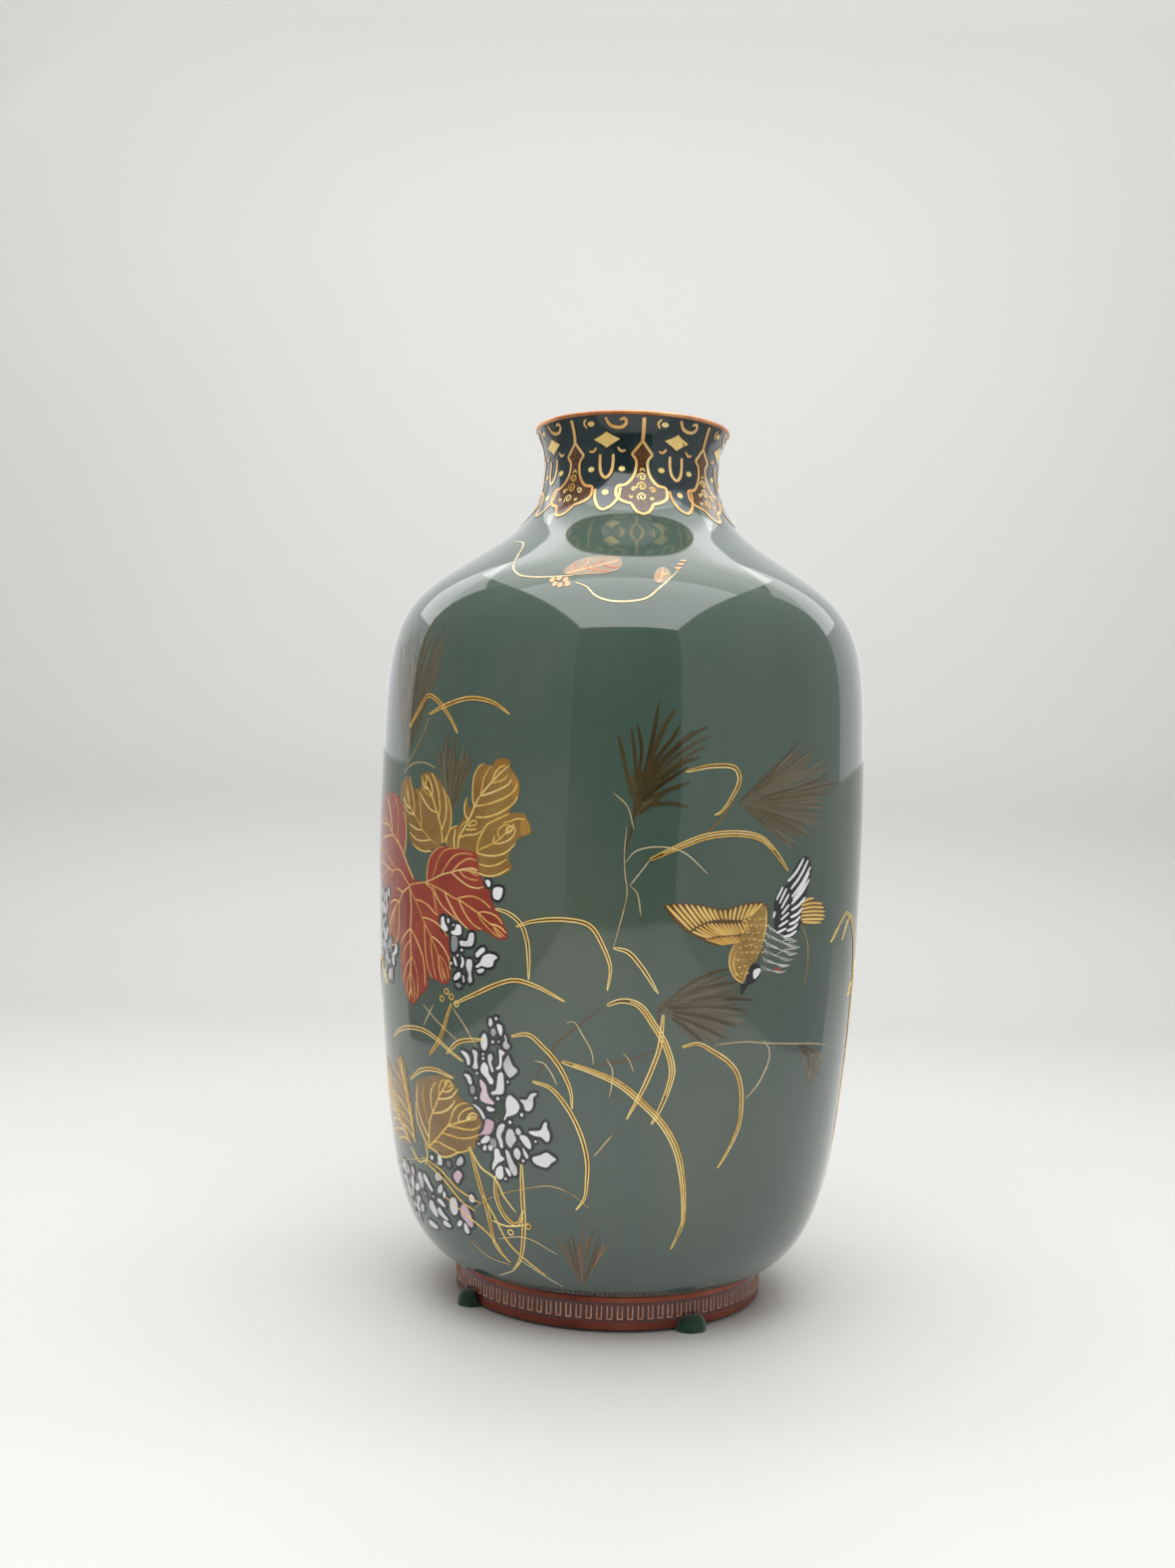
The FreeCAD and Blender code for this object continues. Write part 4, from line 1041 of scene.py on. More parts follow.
WHITE_PETALS = [
    [(-29.6, 100), (-29.3, 102), (-28.8, 101.5), (-28.7, 100), (-29.2, 99.3)],
    [(-27.5, 100.3), (-26.4, 100), (-26.2, 98), (-26.6, 96.7), (-27.1, 98)],
    [(-31.6, 95.5), (-30.7, 97), (-30.1, 95.5), (-30.1, 93), (-30.8, 91.5), (-31.6, 92.5)],
    [(-25.7, 97.3), (-25.2, 96.5), (-25, 94.8), (-24.4, 94), (-24.9, 92.8), (-25.9, 93.3), (-26, 94.5),
     (-25.5, 95.5)],
    [(-37.5, 90.3), (-36.2, 90.2), (-35.1, 89), (-35, 86.3), (-35.6, 86.2), (-36, 88)],
    [(-34.2, 91.2), (-32.8, 90.8), (-32.9, 88), (-32.8, 85.5), (-34.1, 85.5), (-33.7, 87.5), (-33.8, 89.5)],
    [(-29.9, 90), (-29.2, 90.8), (-28.7, 89.8), (-29.1, 88), (-28.7, 86.5), (-28.5, 85.2), (-29, 85),
     (-29.5, 86.5), (-29.9, 88.5)],
    [(-27, 92.5), (-26, 92), (-25.6, 91.5), (-26.3, 90.5), (-26.4, 88), (-26.8, 86.5), (-27.8, 86),
     (-27.8, 86.6), (-27.1, 87.5), (-27, 90)],
    [(-24.8, 91), (-24.3, 89.5), (-23.8, 88), (-22.6, 86.5), (-23, 85.5), (-24.5, 84), (-25, 84.6),
     (-25.8, 86.5), (-26, 88), (-25.5, 89.5)],
    [(-31, 87.8), (-30, 86.6), (-29.8, 84.5), (-28.7, 82.5), (-28.8, 81.3), (-29.6, 81.3), (-30.5, 83),
     (-31.8, 84.5), (-31.9, 86)],
    [(-36.8, 83), (-35.3, 83), (-34.6, 81.5), (-34.6, 80.2), (-35.3, 80.2), (-36, 82)],
    [(-27.2, 85), (-26.3, 85.3), (-26, 83), (-26, 80), (-26.3, 78.7), (-27.8, 78.2), (-29.2, 78),
     (-29.2, 78.8), (-28.2, 79.3), (-27.8, 81), (-27.6, 83)],
    [(-30.6, 73.8), (-29.5, 73.8), (-28.4, 73.2), (-29.4, 72.5), (-30.5, 72.8)],
    [(-24.6, 78.5), (-23.8, 78), (-22.9, 77), (-22.2, 75.2), (-22.8, 73.3), (-24, 72.2), (-25.4, 71.5),
     (-25.7, 70.7), (-26.2, 70.3), (-25.5, 73), (-25.6, 75.5), (-25.3, 77.5)],
    [(-22, 77.4), (-20.5, 77.6), (-19.5, 79.5), (-18.5, 80), (-18, 79.8), (-18.9, 78.5), (-19, 76),
     (-19.7, 74.3), (-20.8, 74.3), (-21.2, 76)],
    [(-34.6, 73.9), (-33.3, 73.6), (-32, 72.2), (-31.1, 70), (-31.6, 69.7), (-32.4, 71.3), (-33.4, 72.8)],
    [(-27.2, 68.8), (-26, 69), (-26.4, 67), (-27, 65.5), (-26.6, 63), (-26.6, 61.5), (-27.1, 61.3),
     (-27.7, 63.5), (-28.2, 65), (-28, 67)],
    [(-25, 67.7), (-24, 67.5), (-23.5, 66), (-23.2, 64.5), (-23.9, 63.2), (-24.6, 61.8), (-25.3, 62.5),
     (-25.8, 64), (-25.6, 66.3)],
    [(-22.9, 68.4), (-22.2, 68), (-21.9, 67), (-22.6, 66.2), (-23.2, 67)],
    [(-22.3, 66), (-21, 66.3), (-20.2, 65.5), (-19.5, 63.5), (-19.7, 62.2), (-20.5, 62.6), (-21.5, 64)],
    [(-20, 67.7), (-18.3, 68.1), (-17.2, 68.5), (-16.3, 71), (-15.8, 71.2), (-15.7, 69.5), (-15.1, 67.5),
     (-15.3, 65.3), (-15.8, 65), (-17, 66.3), (-18.5, 66.5), (-19.9, 67.3)],
    [(-31, 64.5), (-30, 64.3), (-30.3, 63), (-31.5, 62), (-32.6, 61.9), (-32.4, 62.9), (-31.7, 63.8)],
    [(-31.4, 61.5), (-31, 61), (-31.3, 59.7), (-32, 59.8), (-31.9, 60.8)],
    [(-30.3, 61.7), (-29.3, 61.2), (-29.8, 59.9), (-30.5, 60.3)],
    [(-28.8, 60.6), (-27.8, 60.8), (-27.3, 59), (-26.3, 58), (-26.8, 57.3), (-28, 56.4), (-29, 54.8),
     (-29.6, 53.6), (-29.6, 55.5), (-29, 57.5)],
    [(-25.9, 61), (-25.2, 60.5), (-24.5, 58.5), (-23.9, 57), (-23.2, 55.6), (-23.2, 53.6), (-23.8, 53),
     (-24.8, 54.5), (-25.2, 56), (-25.7, 58.5)],
    [(-23.8, 61), (-23, 62), (-22.2, 60.8), (-22.3, 59.2), (-22.8, 58.3), (-23.8, 59.6)],
    [(-21.6, 62.5), (-21, 61.5), (-20.2, 59.8), (-20.5, 58.9), (-21.2, 60)],
    [(-19.2, 59.5), (-17.5, 60.5), (-15.8, 61.6), (-14.7, 60.8), (-13.6, 59.7), (-14.7, 58.5), (-15.7, 57),
     (-17.5, 57.2), (-19, 58.2)],
    [(-28, 55.2), (-27, 55.5), (-26.8, 54.5), (-26.8, 52), (-27.8, 51.1), (-28.7, 52), (-28.8, 53.7)],
    [(-26.2, 55.3), (-25.3, 54.8), (-24.7, 53.3), (-25, 52.5), (-25.7, 53.5)],
    [(-43, 131.5), (-42.3, 132.2), (-41.8, 130), (-41, 128.5), (-41, 127.7), (-41.8, 127.6),
     (-42.9, 128.5), (-43, 130)],
    [(-41, 131.7), (-40.5, 131.5), (-40.5, 130.3), (-41, 130.2)],
    [(-38.3, 130), (-37.2, 129.8), (-37, 127.3), (-38, 126.7), (-39.8, 127), (-39.9, 127.6),
     (-38.8, 128.3)],
    [(-37.3, 125), (-35.3, 125.3), (-34.6, 127.7), (-33.6, 127.9), (-33.4, 126.5), (-33.9, 124),
     (-35, 123.6), (-37.2, 123.7)],
    [(-33, 121.3), (-31.5, 123.5), (-30.8, 123.7), (-30.5, 122.9), (-31.8, 121.2), (-32.6, 120.4)],
    [(-33, 117.5), (-31.8, 119), (-31, 121), (-29.5, 121.9), (-28, 121.6), (-27.4, 121), (-28.2, 120),
     (-28.6, 118.3), (-29.7, 117.7), (-31.5, 117.9), (-32.5, 117.2)],
    [(-32.6, 116.3), (-31.4, 117.1), (-30.7, 116.9), (-31, 116.1), (-32.2, 115.6)],
    [(-39.2, 120), (-38.8, 119.5), (-38.2, 117.5), (-38.3, 116.8), (-38.9, 117.7)],
    [(-36.9, 120.2), (-36.3, 119.5), (-36.2, 117.8), (-36.8, 116.5), (-37.1, 117), (-36.8, 118.5)],
    [(-35.3, 119.3), (-34.2, 119.5), (-33.9, 118), (-34.2, 115.5), (-34, 112.8), (-34.6, 112.1),
     (-35, 113), (-34.9, 115), (-35.5, 117)],
    [(-39.2, 113), (-38.3, 114.7), (-37.4, 115.2), (-37.2, 114), (-38, 112.9), (-38.9, 112.4)],
    [(-36.6, 114.5), (-36.2, 114), (-36, 112.3), (-36.4, 112)],
    [(-30.6, 144.5), (-29.8, 144.8), (-29.3, 143.8), (-29.7, 142.5), (-30.3, 143.3)],
    [(-28.5, 142.2), (-27.5, 142.8), (-26.4, 142.4), (-26.6, 140), (-27.2, 138.9), (-28.4, 139.2),
     (-28.7, 140.5)],
    [(-49.9, 53.7), (-49, 53.4), (-49.2, 52.5), (-50.3, 52.5)],
    [(-46.8, 54.8), (-46, 54.5), (-45.7, 52), (-46.4, 51.3), (-47.2, 52.8)],
    [(-39.8, 55.2), (-38.7, 56.1), (-38.2, 54.8), (-38.9, 53.4), (-40.5, 53), (-40.4, 54)],
    [(-37.4, 43.5), (-36.6, 44.3), (-36, 43.8), (-35.6, 42.3), (-36.8, 41.6), (-37.4, 42.3)],
    [(-48.2, 48.5), (-47, 48.3), (-46.5, 46.8), (-47.5, 46), (-48.8, 45.8), (-49.2, 47)],
    [(-57, 46), (-56, 46.2), (-55.4, 44.5), (-55.6, 41.5), (-56.8, 41), (-57.7, 42.5), (-57.8, 44.5)],
    [(-54.6, 46.3), (-53.5, 46), (-52, 43.5), (-51, 41.5), (-52, 41.3), (-53.5, 43.2), (-54.6, 44.8)],
    [(-48.5, 43.2), (-47.5, 44.5), (-46.8, 44.8), (-46.8, 43), (-48.2, 41.5), (-48.9, 41.9)],
    [(-46.3, 42.8), (-45.7, 42), (-46.2, 40.5), (-46.9, 40.8)],
    [(-44.5, 40), (-43.7, 41.3), (-42.3, 41.5), (-41.8, 40), (-42, 37.5), (-42.8, 36), (-44, 35.5),
     (-44.8, 37)],
    [(-49.5, 39.4), (-48.3, 39.6), (-46.8, 38), (-46.9, 37.2), (-48.5, 37.8), (-49.7, 38.7)],
    [(-53.5, 37.5), (-52.3, 37.8), (-51.5, 36), (-51, 34), (-51.5, 32.5), (-53, 33), (-54.5, 35)],
    [(-50.3, 36), (-49.3, 36.3), (-48, 34.5), (-46.6, 33), (-47.2, 32.6), (-49, 33.3), (-50.4, 34.3)],
    [(-48.8, 32.2), (-47.3, 32), (-46, 31), (-47.2, 30.3), (-49.3, 30.8)],
    [(-42.8, 33.3), (-41.8, 34.3), (-41.2, 33.8), (-41.8, 32.5), (-42.8, 31.8), (-43.4, 32.3)],
    [(-40.3, 33.8), (-39.6, 33), (-39.3, 31), (-39.9, 30.2), (-40.8, 30.6), (-40.8, 32.5)],
    [(-56.7, 29.8), (-54.5, 29.5), (-53, 28.5), (-54.5, 27.6), (-57, 28), (-57.7, 28.7)],
]
PINK_PETALS = [
    [(-32.2, 82.2), (-31.3, 81.5), (-30.6, 80.3), (-30.4, 78.5), (-29.8, 76.8), (-28.5, 75.2), (-29, 74.8),
     (-32.2, 75.6), (-32.3, 77), (-31.8, 79), (-32.2, 80.5)],
    [(-30.9, 69.8), (-29, 69.3), (-28.9, 68), (-29.5, 66), (-30.3, 65), (-32, 64.7), (-33, 64.2),
     (-31.8, 66), (-31.3, 68)],
    [(-41, 50.7), (-39.8, 51.2), (-39, 50), (-39.8, 48.3), (-40.7, 46.8), (-41.7, 48), (-42, 48.9)],
    [(-40.7, 39), (-39.8, 40.2), (-38.7, 39.8), (-37.7, 37.5), (-37.3, 35), (-37.7, 33), (-38.7, 33),
     (-39.8, 34.5), (-41, 36)],
]
GREY_PETALS = [
    [(-28.9, 98.5), (-28.2, 98.8), (-27.8, 97.5), (-28.5, 96.3), (-29, 97.2)],
    [(-35, 79.5), (-34, 79.8), (-33.8, 77.8), (-34.8, 77)],
    [(-39.6, 126.3), (-38.2, 126), (-38.3, 122), (-39.5, 121.3)],
    [(-30, 63.5), (-28.8, 64), (-28.3, 62.5), (-28.6, 61), (-29.6, 61.6)],
    [(-43.8, 53.4), (-42.8, 53.5), (-42.7, 52), (-43.7, 51.6)],
    [(-38.7, 111.3), (-37.6, 111.7), (-36.9, 110.8), (-37.8, 110.2)],
]
FLORET_DOTS = [
    (-27.7, 102), (-28.6, 94.6), (-27.1, 94.9), (-31.2, 90.3), (-31.2, 89), (-25, 82.6), (-33, 84),
    (-33.6, 76), (-27.6, 76.9), (-21.7, 72.7), (-18.4, 64.8), (-21.5, 58.2), (-26.2, 51.6), (-39.2, 129.8),
    (-36.8, 122.2), (-39.9, 117.6), (-38, 120.4), (-47.3, 51.6), (-51.2, 39.6), (-55.2, 39.4),
    (-24.6, 69.9), (-33.2, 61.5),
]
DARK_GAPS = [[(-28, 76), (-26.1, 77), (-26, 72), (-26.8, 70), (-29, 70.8), (-31, 71.5), (-28.3, 72.5)]]
HIDDEN_CLUSTERS = [
    [(-76, 139), (-68, 139), (-64, 134), (-70, 131), (-69, 124), (-62, 118), (-64, 109), (-71, 109),
     (-77, 121)],
    [(-69, 47), (-59, 47), (-59, 30), (-66, 27), (-71, 35)],
]

petal_cells = Inlay("flower_petals", PETAL, 0.16, "pale_enamel", ["flower_petals_enamel"])
pink_cells = Inlay("pink_petals", PINK, 0.16, "pale_enamel")
grey_cells = Inlay("grey_petals", GREY, 0.16, "pale_enamel")
gap_cells = Inlay("dark_green_gaps", GAP, 0.12, "ground_enamel")
petal_rims = Inlay("petal_outlines", OUTLINE, 0.13, "wire_gold", ["flower_petals_wires"])
RIM_WIDTH = 1.9


def petal(cells, outline):
    """One petal and the dark line round it."""
    cells.fill(outline, smooth=True, grid=2.6, closed_step=0.45)
    petal_rims.line(outline, RIM_WIDTH, (1, 1), closed=True, step=0.6)


def blob(length, width, lean, hook):
    """An irregular petal outline in mm, its long axis upright before it leans."""
    phase = random_source.uniform(0, 2 * math.pi)
    out = []
    for t in circle_angles(9):
        r = 1 + 0.16 * math.sin(2 * t + phase) + 0.1 * math.sin(3 * t - phase)
        x = width / 2 * math.cos(t) * r + hook * math.sin(t) ** 2
        y = length / 2 * math.sin(t) * r
        out.append((x * math.cos(lean) - y * math.sin(lean), x * math.sin(lean) + y * math.cos(lean)))
    return np.array(out)


PETAL_PITCH = (3.4, 4.3)
PETAL_LENGTH, PETAL_WIDTH = 4.3, 2.1


def cluster(outline):
    """Petals packed inside an outline, where they are seen edge on or not at all."""
    outline = np.array(outline, float)
    scale = mm_per_degree(outline[:, 1].mean())
    flat = outline * (scale, 1.0)
    low, high = flat.min(0), flat.max(0)
    middle = (low + high) / 2
    columns, rows = ((high - low) / PETAL_PITCH).astype(int) + 1
    for row in range(rows):
        for column in range(columns):
            spot = low + np.array([column + 0.5 * (row % 2), row + 0.3]) * PETAL_PITCH
            spot = spot + [random_source.uniform(-0.9, 0.9), random_source.uniform(-1.1, 1.1)]
            if not inside(spot[None], flat)[0]:
                continue
            part = random_source.choice((0.45, 0.8, 1.0, 1.15))
            away = spot - middle
            lean = -math.atan2(away[0], abs(away[1]) + 6) + random_source.uniform(-0.5, 0.5)
            hook = random_source.uniform(-0.9, 0.9)
            shape = blob(PETAL_LENGTH * part, PETAL_WIDTH * part ** 0.5, lean, hook)
            cells = random_source.choice((petal_cells,) * 7 + (pink_cells, grey_cells))
            petal(cells, (spot + shape) / (scale, 1.0))


PETAL_GROUPS = ((petal_cells, WHITE_PETALS), (pink_cells, PINK_PETALS), (grey_cells, GREY_PETALS))
for cells, outlines in PETAL_GROUPS:
    for outline in outlines:
        petal(cells, outline)
for a, z in FLORET_DOTS:
    petal(petal_cells, ring_of((a, z), random_source.uniform(0.4, 0.6), 7))
for outline in DARK_GAPS:
    gap_cells.fill(outline, smooth=True)
for outline in HIDDEN_CLUSTERS:
    cluster(outline)


# The far side: three flower heads among the grasses, each the seen one set in another place.
SEEN_HEAD, SEEN_HEAD_REACH = (-25.5, 76), (14, 27)
BACK_HEADS = [(112, 88, 1), (196, 70, -1), (232, 128, 1)]
for head_a, head_z, side in BACK_HEADS:
    for cells, outlines in PETAL_GROUPS:
        for outline in outlines:
            offsets = np.array(outline, float) - SEEN_HEAD
            if (np.abs(offsets.mean(0)) < SEEN_HEAD_REACH).all():
                petal(cells, offsets * (side, 1) + (head_a, head_z))
build(petal_rims, petal_cells, pink_cells, grey_cells, gap_cells)


# ---------------------------------------------------------------- plumes

plumes = Inlay("dark_plumes", PLUME, 0.06)
haze = Inlay("plume_haze", HAZE, 0.03)
tufts = Inlay("ground_tufts", TWIG, 0.07)

DARK_STROKES = [
    ([(1, 172), (-0.5, 180), (-1.5, 186), (-2.4, 191)], 0.9),
    ([(2, 172), (3.5, 180), (4.5, 187), (6, 201)], 1.0),
    ([(2.5, 172), (4.5, 183), (7, 193), (9.5, 199)], 1.3),
    ([(3, 172), (6, 184), (9, 190), (10.5, 194)], 1.1), ([(3, 172), (7, 183), (12, 190), (16.5, 194)], 1.2),
    ([(3, 172), (8, 182), (13, 188), (17, 191)], 0.9), ([(3, 172), (8, 179), (12, 183), (15, 184.5)], 1.1),
    ([(3, 171), (8, 177), (12.5, 181.5)], 0.9), ([(3.5, 171), (8, 174), (13, 177)], 1.0),
    ([(4, 169.5), (9, 170.2), (13, 169.3)], 0.9), ([(2.4, 172), (5, 185), (8, 196)], 1.0),
    ([(2.8, 172), (6, 181), (11, 189), (13.4, 192.5)], 1.2),
    ([(3, 172), (9, 181), (14, 186.4), (16.4, 188)], 1.0), ([(1.6, 172), (1.4, 182), (0.4, 193)], 0.9),
    ([(1.5, 168), (1.2, 163), (-0.3, 155)], 0.6), ([(2, 178), (2.6, 186), (1.6, 194)], 0.8),
    ([(8, 107), (14, 115), (20, 119), (24, 120)], 0.9), ([(9, 108), (17, 114), (26, 116)], 0.8),
    ([(10, 108), (20, 111), (30, 110)], 0.9), ([(11, 108), (20, 108.5), (27, 107)], 0.8),
    ([(11, 107), (19, 105), (26, 102)], 0.9), ([(11, 106), (18, 102), (24, 98)], 0.8),
    ([(11, 105), (15, 101), (18, 97.5)], 0.8), ([(45, 94), (49, 90), (50, 85)], 0.8),
    ([(45, 94), (50, 88), (52, 81)], 0.8), ([(46, 94), (51, 91), (54, 88)], 0.7),
]
for points, width in DARK_STROKES:
    plumes.line(points, width * 1.25, (0.8, 0.15), tint=random_source.uniform(0.1, 0.6))
HUSK_STROKES = [
    ([(1.6, 166.5), (1.6, 172), (0.6, 179)], 1.5), ([(1.8, 166.5), (2.4, 173), (2.4, 181)], 1.6),
    ([(2, 166.5), (3.4, 172), (4.4, 180)], 1.6), ([(2.2, 166.5), (4.4, 171), (6.6, 177.5)], 1.5),
    ([(2.4, 166.8), (4.6, 169.4), (7.6, 173)], 1.3),
]
for points, width in HUSK_STROKES:
    plumes.line(points, width, (0.5, 0.3), tint=random_source.uniform(0.5, 0.9))
SEED_PLUMES = [
    ((24, 171),
     [(33, 181), (40, 191), (45, 189), (51, 184), (55, 178), (52, 175), (50, 170), (48, 165), (45, 160),
      (40, 156), (29, 166)]),
    ((8, 109), [(18, 118), (24, 119), (28, 112), (29, 107), (29, 102), (26, 98), (22, 96), (17, 97)]),
    ((-59, 180),
     [(-68, 220), (-63, 224), (-58, 225), (-52, 228), (-47, 226), (-45, 220), (-46, 212), (-48, 206)]),
    ((-41, 163), [(-46, 185), (-43, 190), (-40, 190), (-36, 187), (-34, 182)]),
    ((50, 93), [(50, 82), (52, 80), (55, 83), (57, 88)]),
    ((96, 140), [(90, 178), (96, 186), (104, 184), (112, 176), (116, 164)]),
    ((150, 132), [(140, 170), (146, 180), (154, 182), (162, 176), (168, 164)]),
    ((214, 150), [(204, 186), (210, 196), (218, 196), (226, 188), (230, 176)]),
    ((262, 128), [(254, 160), (260, 172), (268, 172), (276, 162)]),
]
for base, tips in SEED_PLUMES:
    plume(haze, base, tips, 7, 1.1)
    plume(plumes, base, tips, 3, 0.62, tone=(0.5, 0.95))
plume(tufts, (-8, 17), [(-14, 35), (-10, 36), (-7, 42), (-3, 38), (-1, 33)], 3, 0.6)
build(haze, plumes, tufts)


# ---------------------------------------------------------------- bird

bird_gold = Inlay("bird_gold_feathers", FEATHER, 0.16, "brown_enamel",
                  ["bird_gold_wing_enamel", "bird_tail_enamel"])
bird_lines = Inlay("bird_gold_wires", GOLD, 0.18, "wire_gold",
                   ["bird_gold_wing_wires", "bird_tail_wires", "bird_body_wires"])
bird_white = Inlay("bird_white_feathers", PETAL, 0.17, "pale_enamel", ["bird_white_wing_enamel"])
bird_grey = Inlay("bird_breast_down", DOWN, 0.16, "pale_enamel")
bird_dark = Inlay("bird_dark_lines", OUTLINE, 0.12, "wire_gold", ["bird_white_wing_wires"])
bird_shade = Inlay("bird_brown_shade", SHADE, 0.125, "brown_enamel")
bird_breast = Inlay("bird_breast", BREAST, 0.13, "pale_enamel")
bird_body = Inlay("bird_body_cells", MOTTLE, 0.14, "brown_enamel", ["bird_body_enamel"])
bird_spot = Inlay("bird_red_spot", RED, 0.19, "red_enamel")


def feathers(cells, roots, tips, count, width, sag, tint):
    """Feathers side by side, from a line of roots to a line of tips; sag bows them sideways, in mm."""
    scale = mm_per_degree(np.array(roots)[:, 1].mean())
    root_path = curve(np.array(roots, float) * (scale, 1.0), step=0.2)
    tip_path = curve(np.array(tips, float) * (scale, 1.0), step=0.2)
    for i in range(count):
        share = (i + 0.5) / count
        root = root_path[int(share * (len(root_path) - 1))]
        tip = tip_path[int(share * (len(tip_path) - 1))]
        middle = (root + tip) / 2 + (sag, 0)
        shaft = bezier(root, middle, tip, 8)
        cells.flat_line(shaft, scale, width, (0.6, 0.55), tint=random_source.uniform(*tint), step=0.6)


# The gold wing: long feathers, coverts and the small ones at the shoulder, over a brown shade.
bird_shade.fill([
    (8, 139.4), (12, 140.1), (16, 139.8), (20, 138.6), (22.5, 138.4), (26, 140), (30, 140.6), (32.4, 139.6),
    (32.6, 131), (31, 127.5), (27, 127.5), (24.5, 127.8), (20, 127), (17, 128.6), (14, 130.6), (10.5, 134.4),
])
feathers(bird_gold,
         [(13.8, 131.6), (15.6, 133.2), (18, 134.6), (21, 135.2), (24, 135), (26.3, 135.2), (28.3, 136.6)],
         [(8.3, 139.2), (12, 139.8), (16, 139.3), (20, 138.2), (22.5, 138.2), (26, 139.6), (31.4, 140)],
         18, 0.84, -0.3, (0.5, 1.0))
feathers(bird_gold,
         [(18, 129.4), (20.6, 130.2), (23.5, 130.3), (26, 130.8), (28, 132)],
         [(14.2, 131.2), (17, 133.8), (20.5, 134), (24.5, 134), (27.2, 135)],
         15, 0.72, -0.3, (0.4, 0.9))
feathers(bird_gold,
         [(21.6, 127.3), (23.6, 127.6), (26, 128)],
         [(17.4, 129), (20.4, 129.8), (25, 130.2)],
         10, 0.5, 0.0, (0.2, 0.6))

# The body, with rows of small curved feather marks.
bird_body.fill([
    (27, 135.4), (28.5, 137), (31.5, 139.4), (32.2, 136), (32, 131), (31.3, 127.5), (30.7, 124.5),
    (29.7, 122), (28.3, 120.5), (27.3, 117), (26.7, 115.4), (25, 116.4), (23.7, 119), (23, 122),
    (23.3, 125), (24.3, 128), (26, 131),
], 0.5, smooth=True, grid=1.6)
BODY_OUTLINES = [
    [(24.2, 127.4), (23.3, 124.5), (23.2, 121.5), (23.9, 118.8), (25.3, 116.6), (27, 115.4)],
    [(24.6, 125), (24.2, 121.5), (25, 118.6), (26.6, 117)], [(28.2, 120.6), (27.5, 118.6), (27.1, 116)],
    [(31.9, 138), (32, 134), (31.8, 130.5), (31.2, 127.6)],
]
for points in BODY_OUTLINES:
    bird_lines.line(points, 0.34)
MARK_ROWS, MARK_COLUMNS = 9, 5
for row in range(MARK_ROWS):
    for column in range(MARK_COLUMNS):
        a = 25 + 1.35 * column + 0.6 * (row % 2) + 0.16 * row
        z = 118.2 + 2.1 * row + random_source.uniform(-0.4, 0.4)
        if a < 27.8 or z > 122.5:
            mark = [(a - 0.4, z + 0.6), (a, z), (a + 0.5, z + 0.5)]
            bird_lines.line(mark, 0.32, tint=random_source.random())

# The raised wing: white feathers on black, the long ones bowed, the short ones straight.
bird_dark.fill([
    (34.2, 140.8), (35.8, 144.8), (37.4, 145.8), (38.6, 149), (42, 154.4), (43.8, 154.2), (44.9, 151.5),
    (44.7, 146.6), (43.4, 141.2), (42.4, 134.8), (41.4, 130.6), (38, 128.6), (34.8, 130.4), (34.4, 134),
], 0.3, smooth=True)
LONG_FEATHERS = [
    ((37.7, 146.7), (42.2, 153.9)), ((38.6, 144.3), (43.7, 153.3)), ((39, 141.8), (44.6, 151.2)),
    ((39, 139.6), (44.4, 147.2)), ((39, 137.6), (43.3, 141.6)), ((38.9, 135.4), (42.5, 138.1)),
    ((38.6, 133.2), (42, 135.6)), ((38, 131.2), (41.3, 133.3)), ((37.3, 129.4), (41, 131.1)),
    ((39.4, 140.8), (44.2, 149.4)),
]
for root, tip in LONG_FEATHERS:
    middle = ((root[0] + tip[0]) / 2 + 0.25, (root[1] + tip[1]) / 2 - 0.35)
    bird_white.line([root, middle, tip], 0.92, (0.65, 0.5), tint=0.8)
SHORT_FEATHERS = [
    ((34.5, 141), (36.2, 145)), ((35.4, 139.9), (37.3, 144.6)), ((36, 138.3), (38.1, 142.8)),
    ((36.2, 136.5), (38.3, 139.5)), ((36, 134.7), (38.3, 136.9)), ((35.5, 132.6), (38.2, 134.5)),
    ((35, 130.7), (37.8, 132)), ((33.9, 135.4), (34.3, 137.4)),
]
for root, tip in SHORT_FEATHERS:
    bird_white.line([root, tip], 0.78, (0.6, 0.6), tint=0.6)

# The breast, with rows of down that spread to the right.
bird_breast.fill([
    (32.3, 134), (34.4, 131.2), (37.8, 129.4), (41.2, 127.6), (41, 125), (38.6, 123.6), (37.4, 120.6),
    (35, 117.6), (31.8, 116.8), (31, 119.6), (30.9, 124), (31.4, 128.6),
], 0.5, smooth=True)
DOWN_ROWS = [
    (9, (32.6, 133.4), (38.6, 127.6)), (10, (32.2, 131), (39.6, 125.6)), (10, (32, 128.4), (38.8, 123.6)),
    (9, (31.8, 126), (37.6, 121.8)), (8, (31.6, 123.4), (36.8, 120)), (6, (31.4, 120.8), (35.6, 118.2)),
]
for count, start, end in DOWN_ROWS:
    for i in range(count):
        share = i / (count - 1)
        a = start[0] + (end[0] - start[0]) * share
        z = start[1] + (end[1] - start[1]) * share
        reach = 1.0 + 1.8 * share
        down = [(a, z), (a + reach * 0.5, z - 1.2 + share * 1.2), (a + reach, z - 2.0 + share * 2.4)]
        bird_grey.line(down, 0.4, (0.7, 0.3), tint=random_source.random())
bird_grey.line([(35, 123.6), (37.5, 125.2), (41, 125.4)], 0.42)
bird_grey.line([(36.2, 127.4), (38.6, 128.8), (41.2, 127.6)], 0.42)

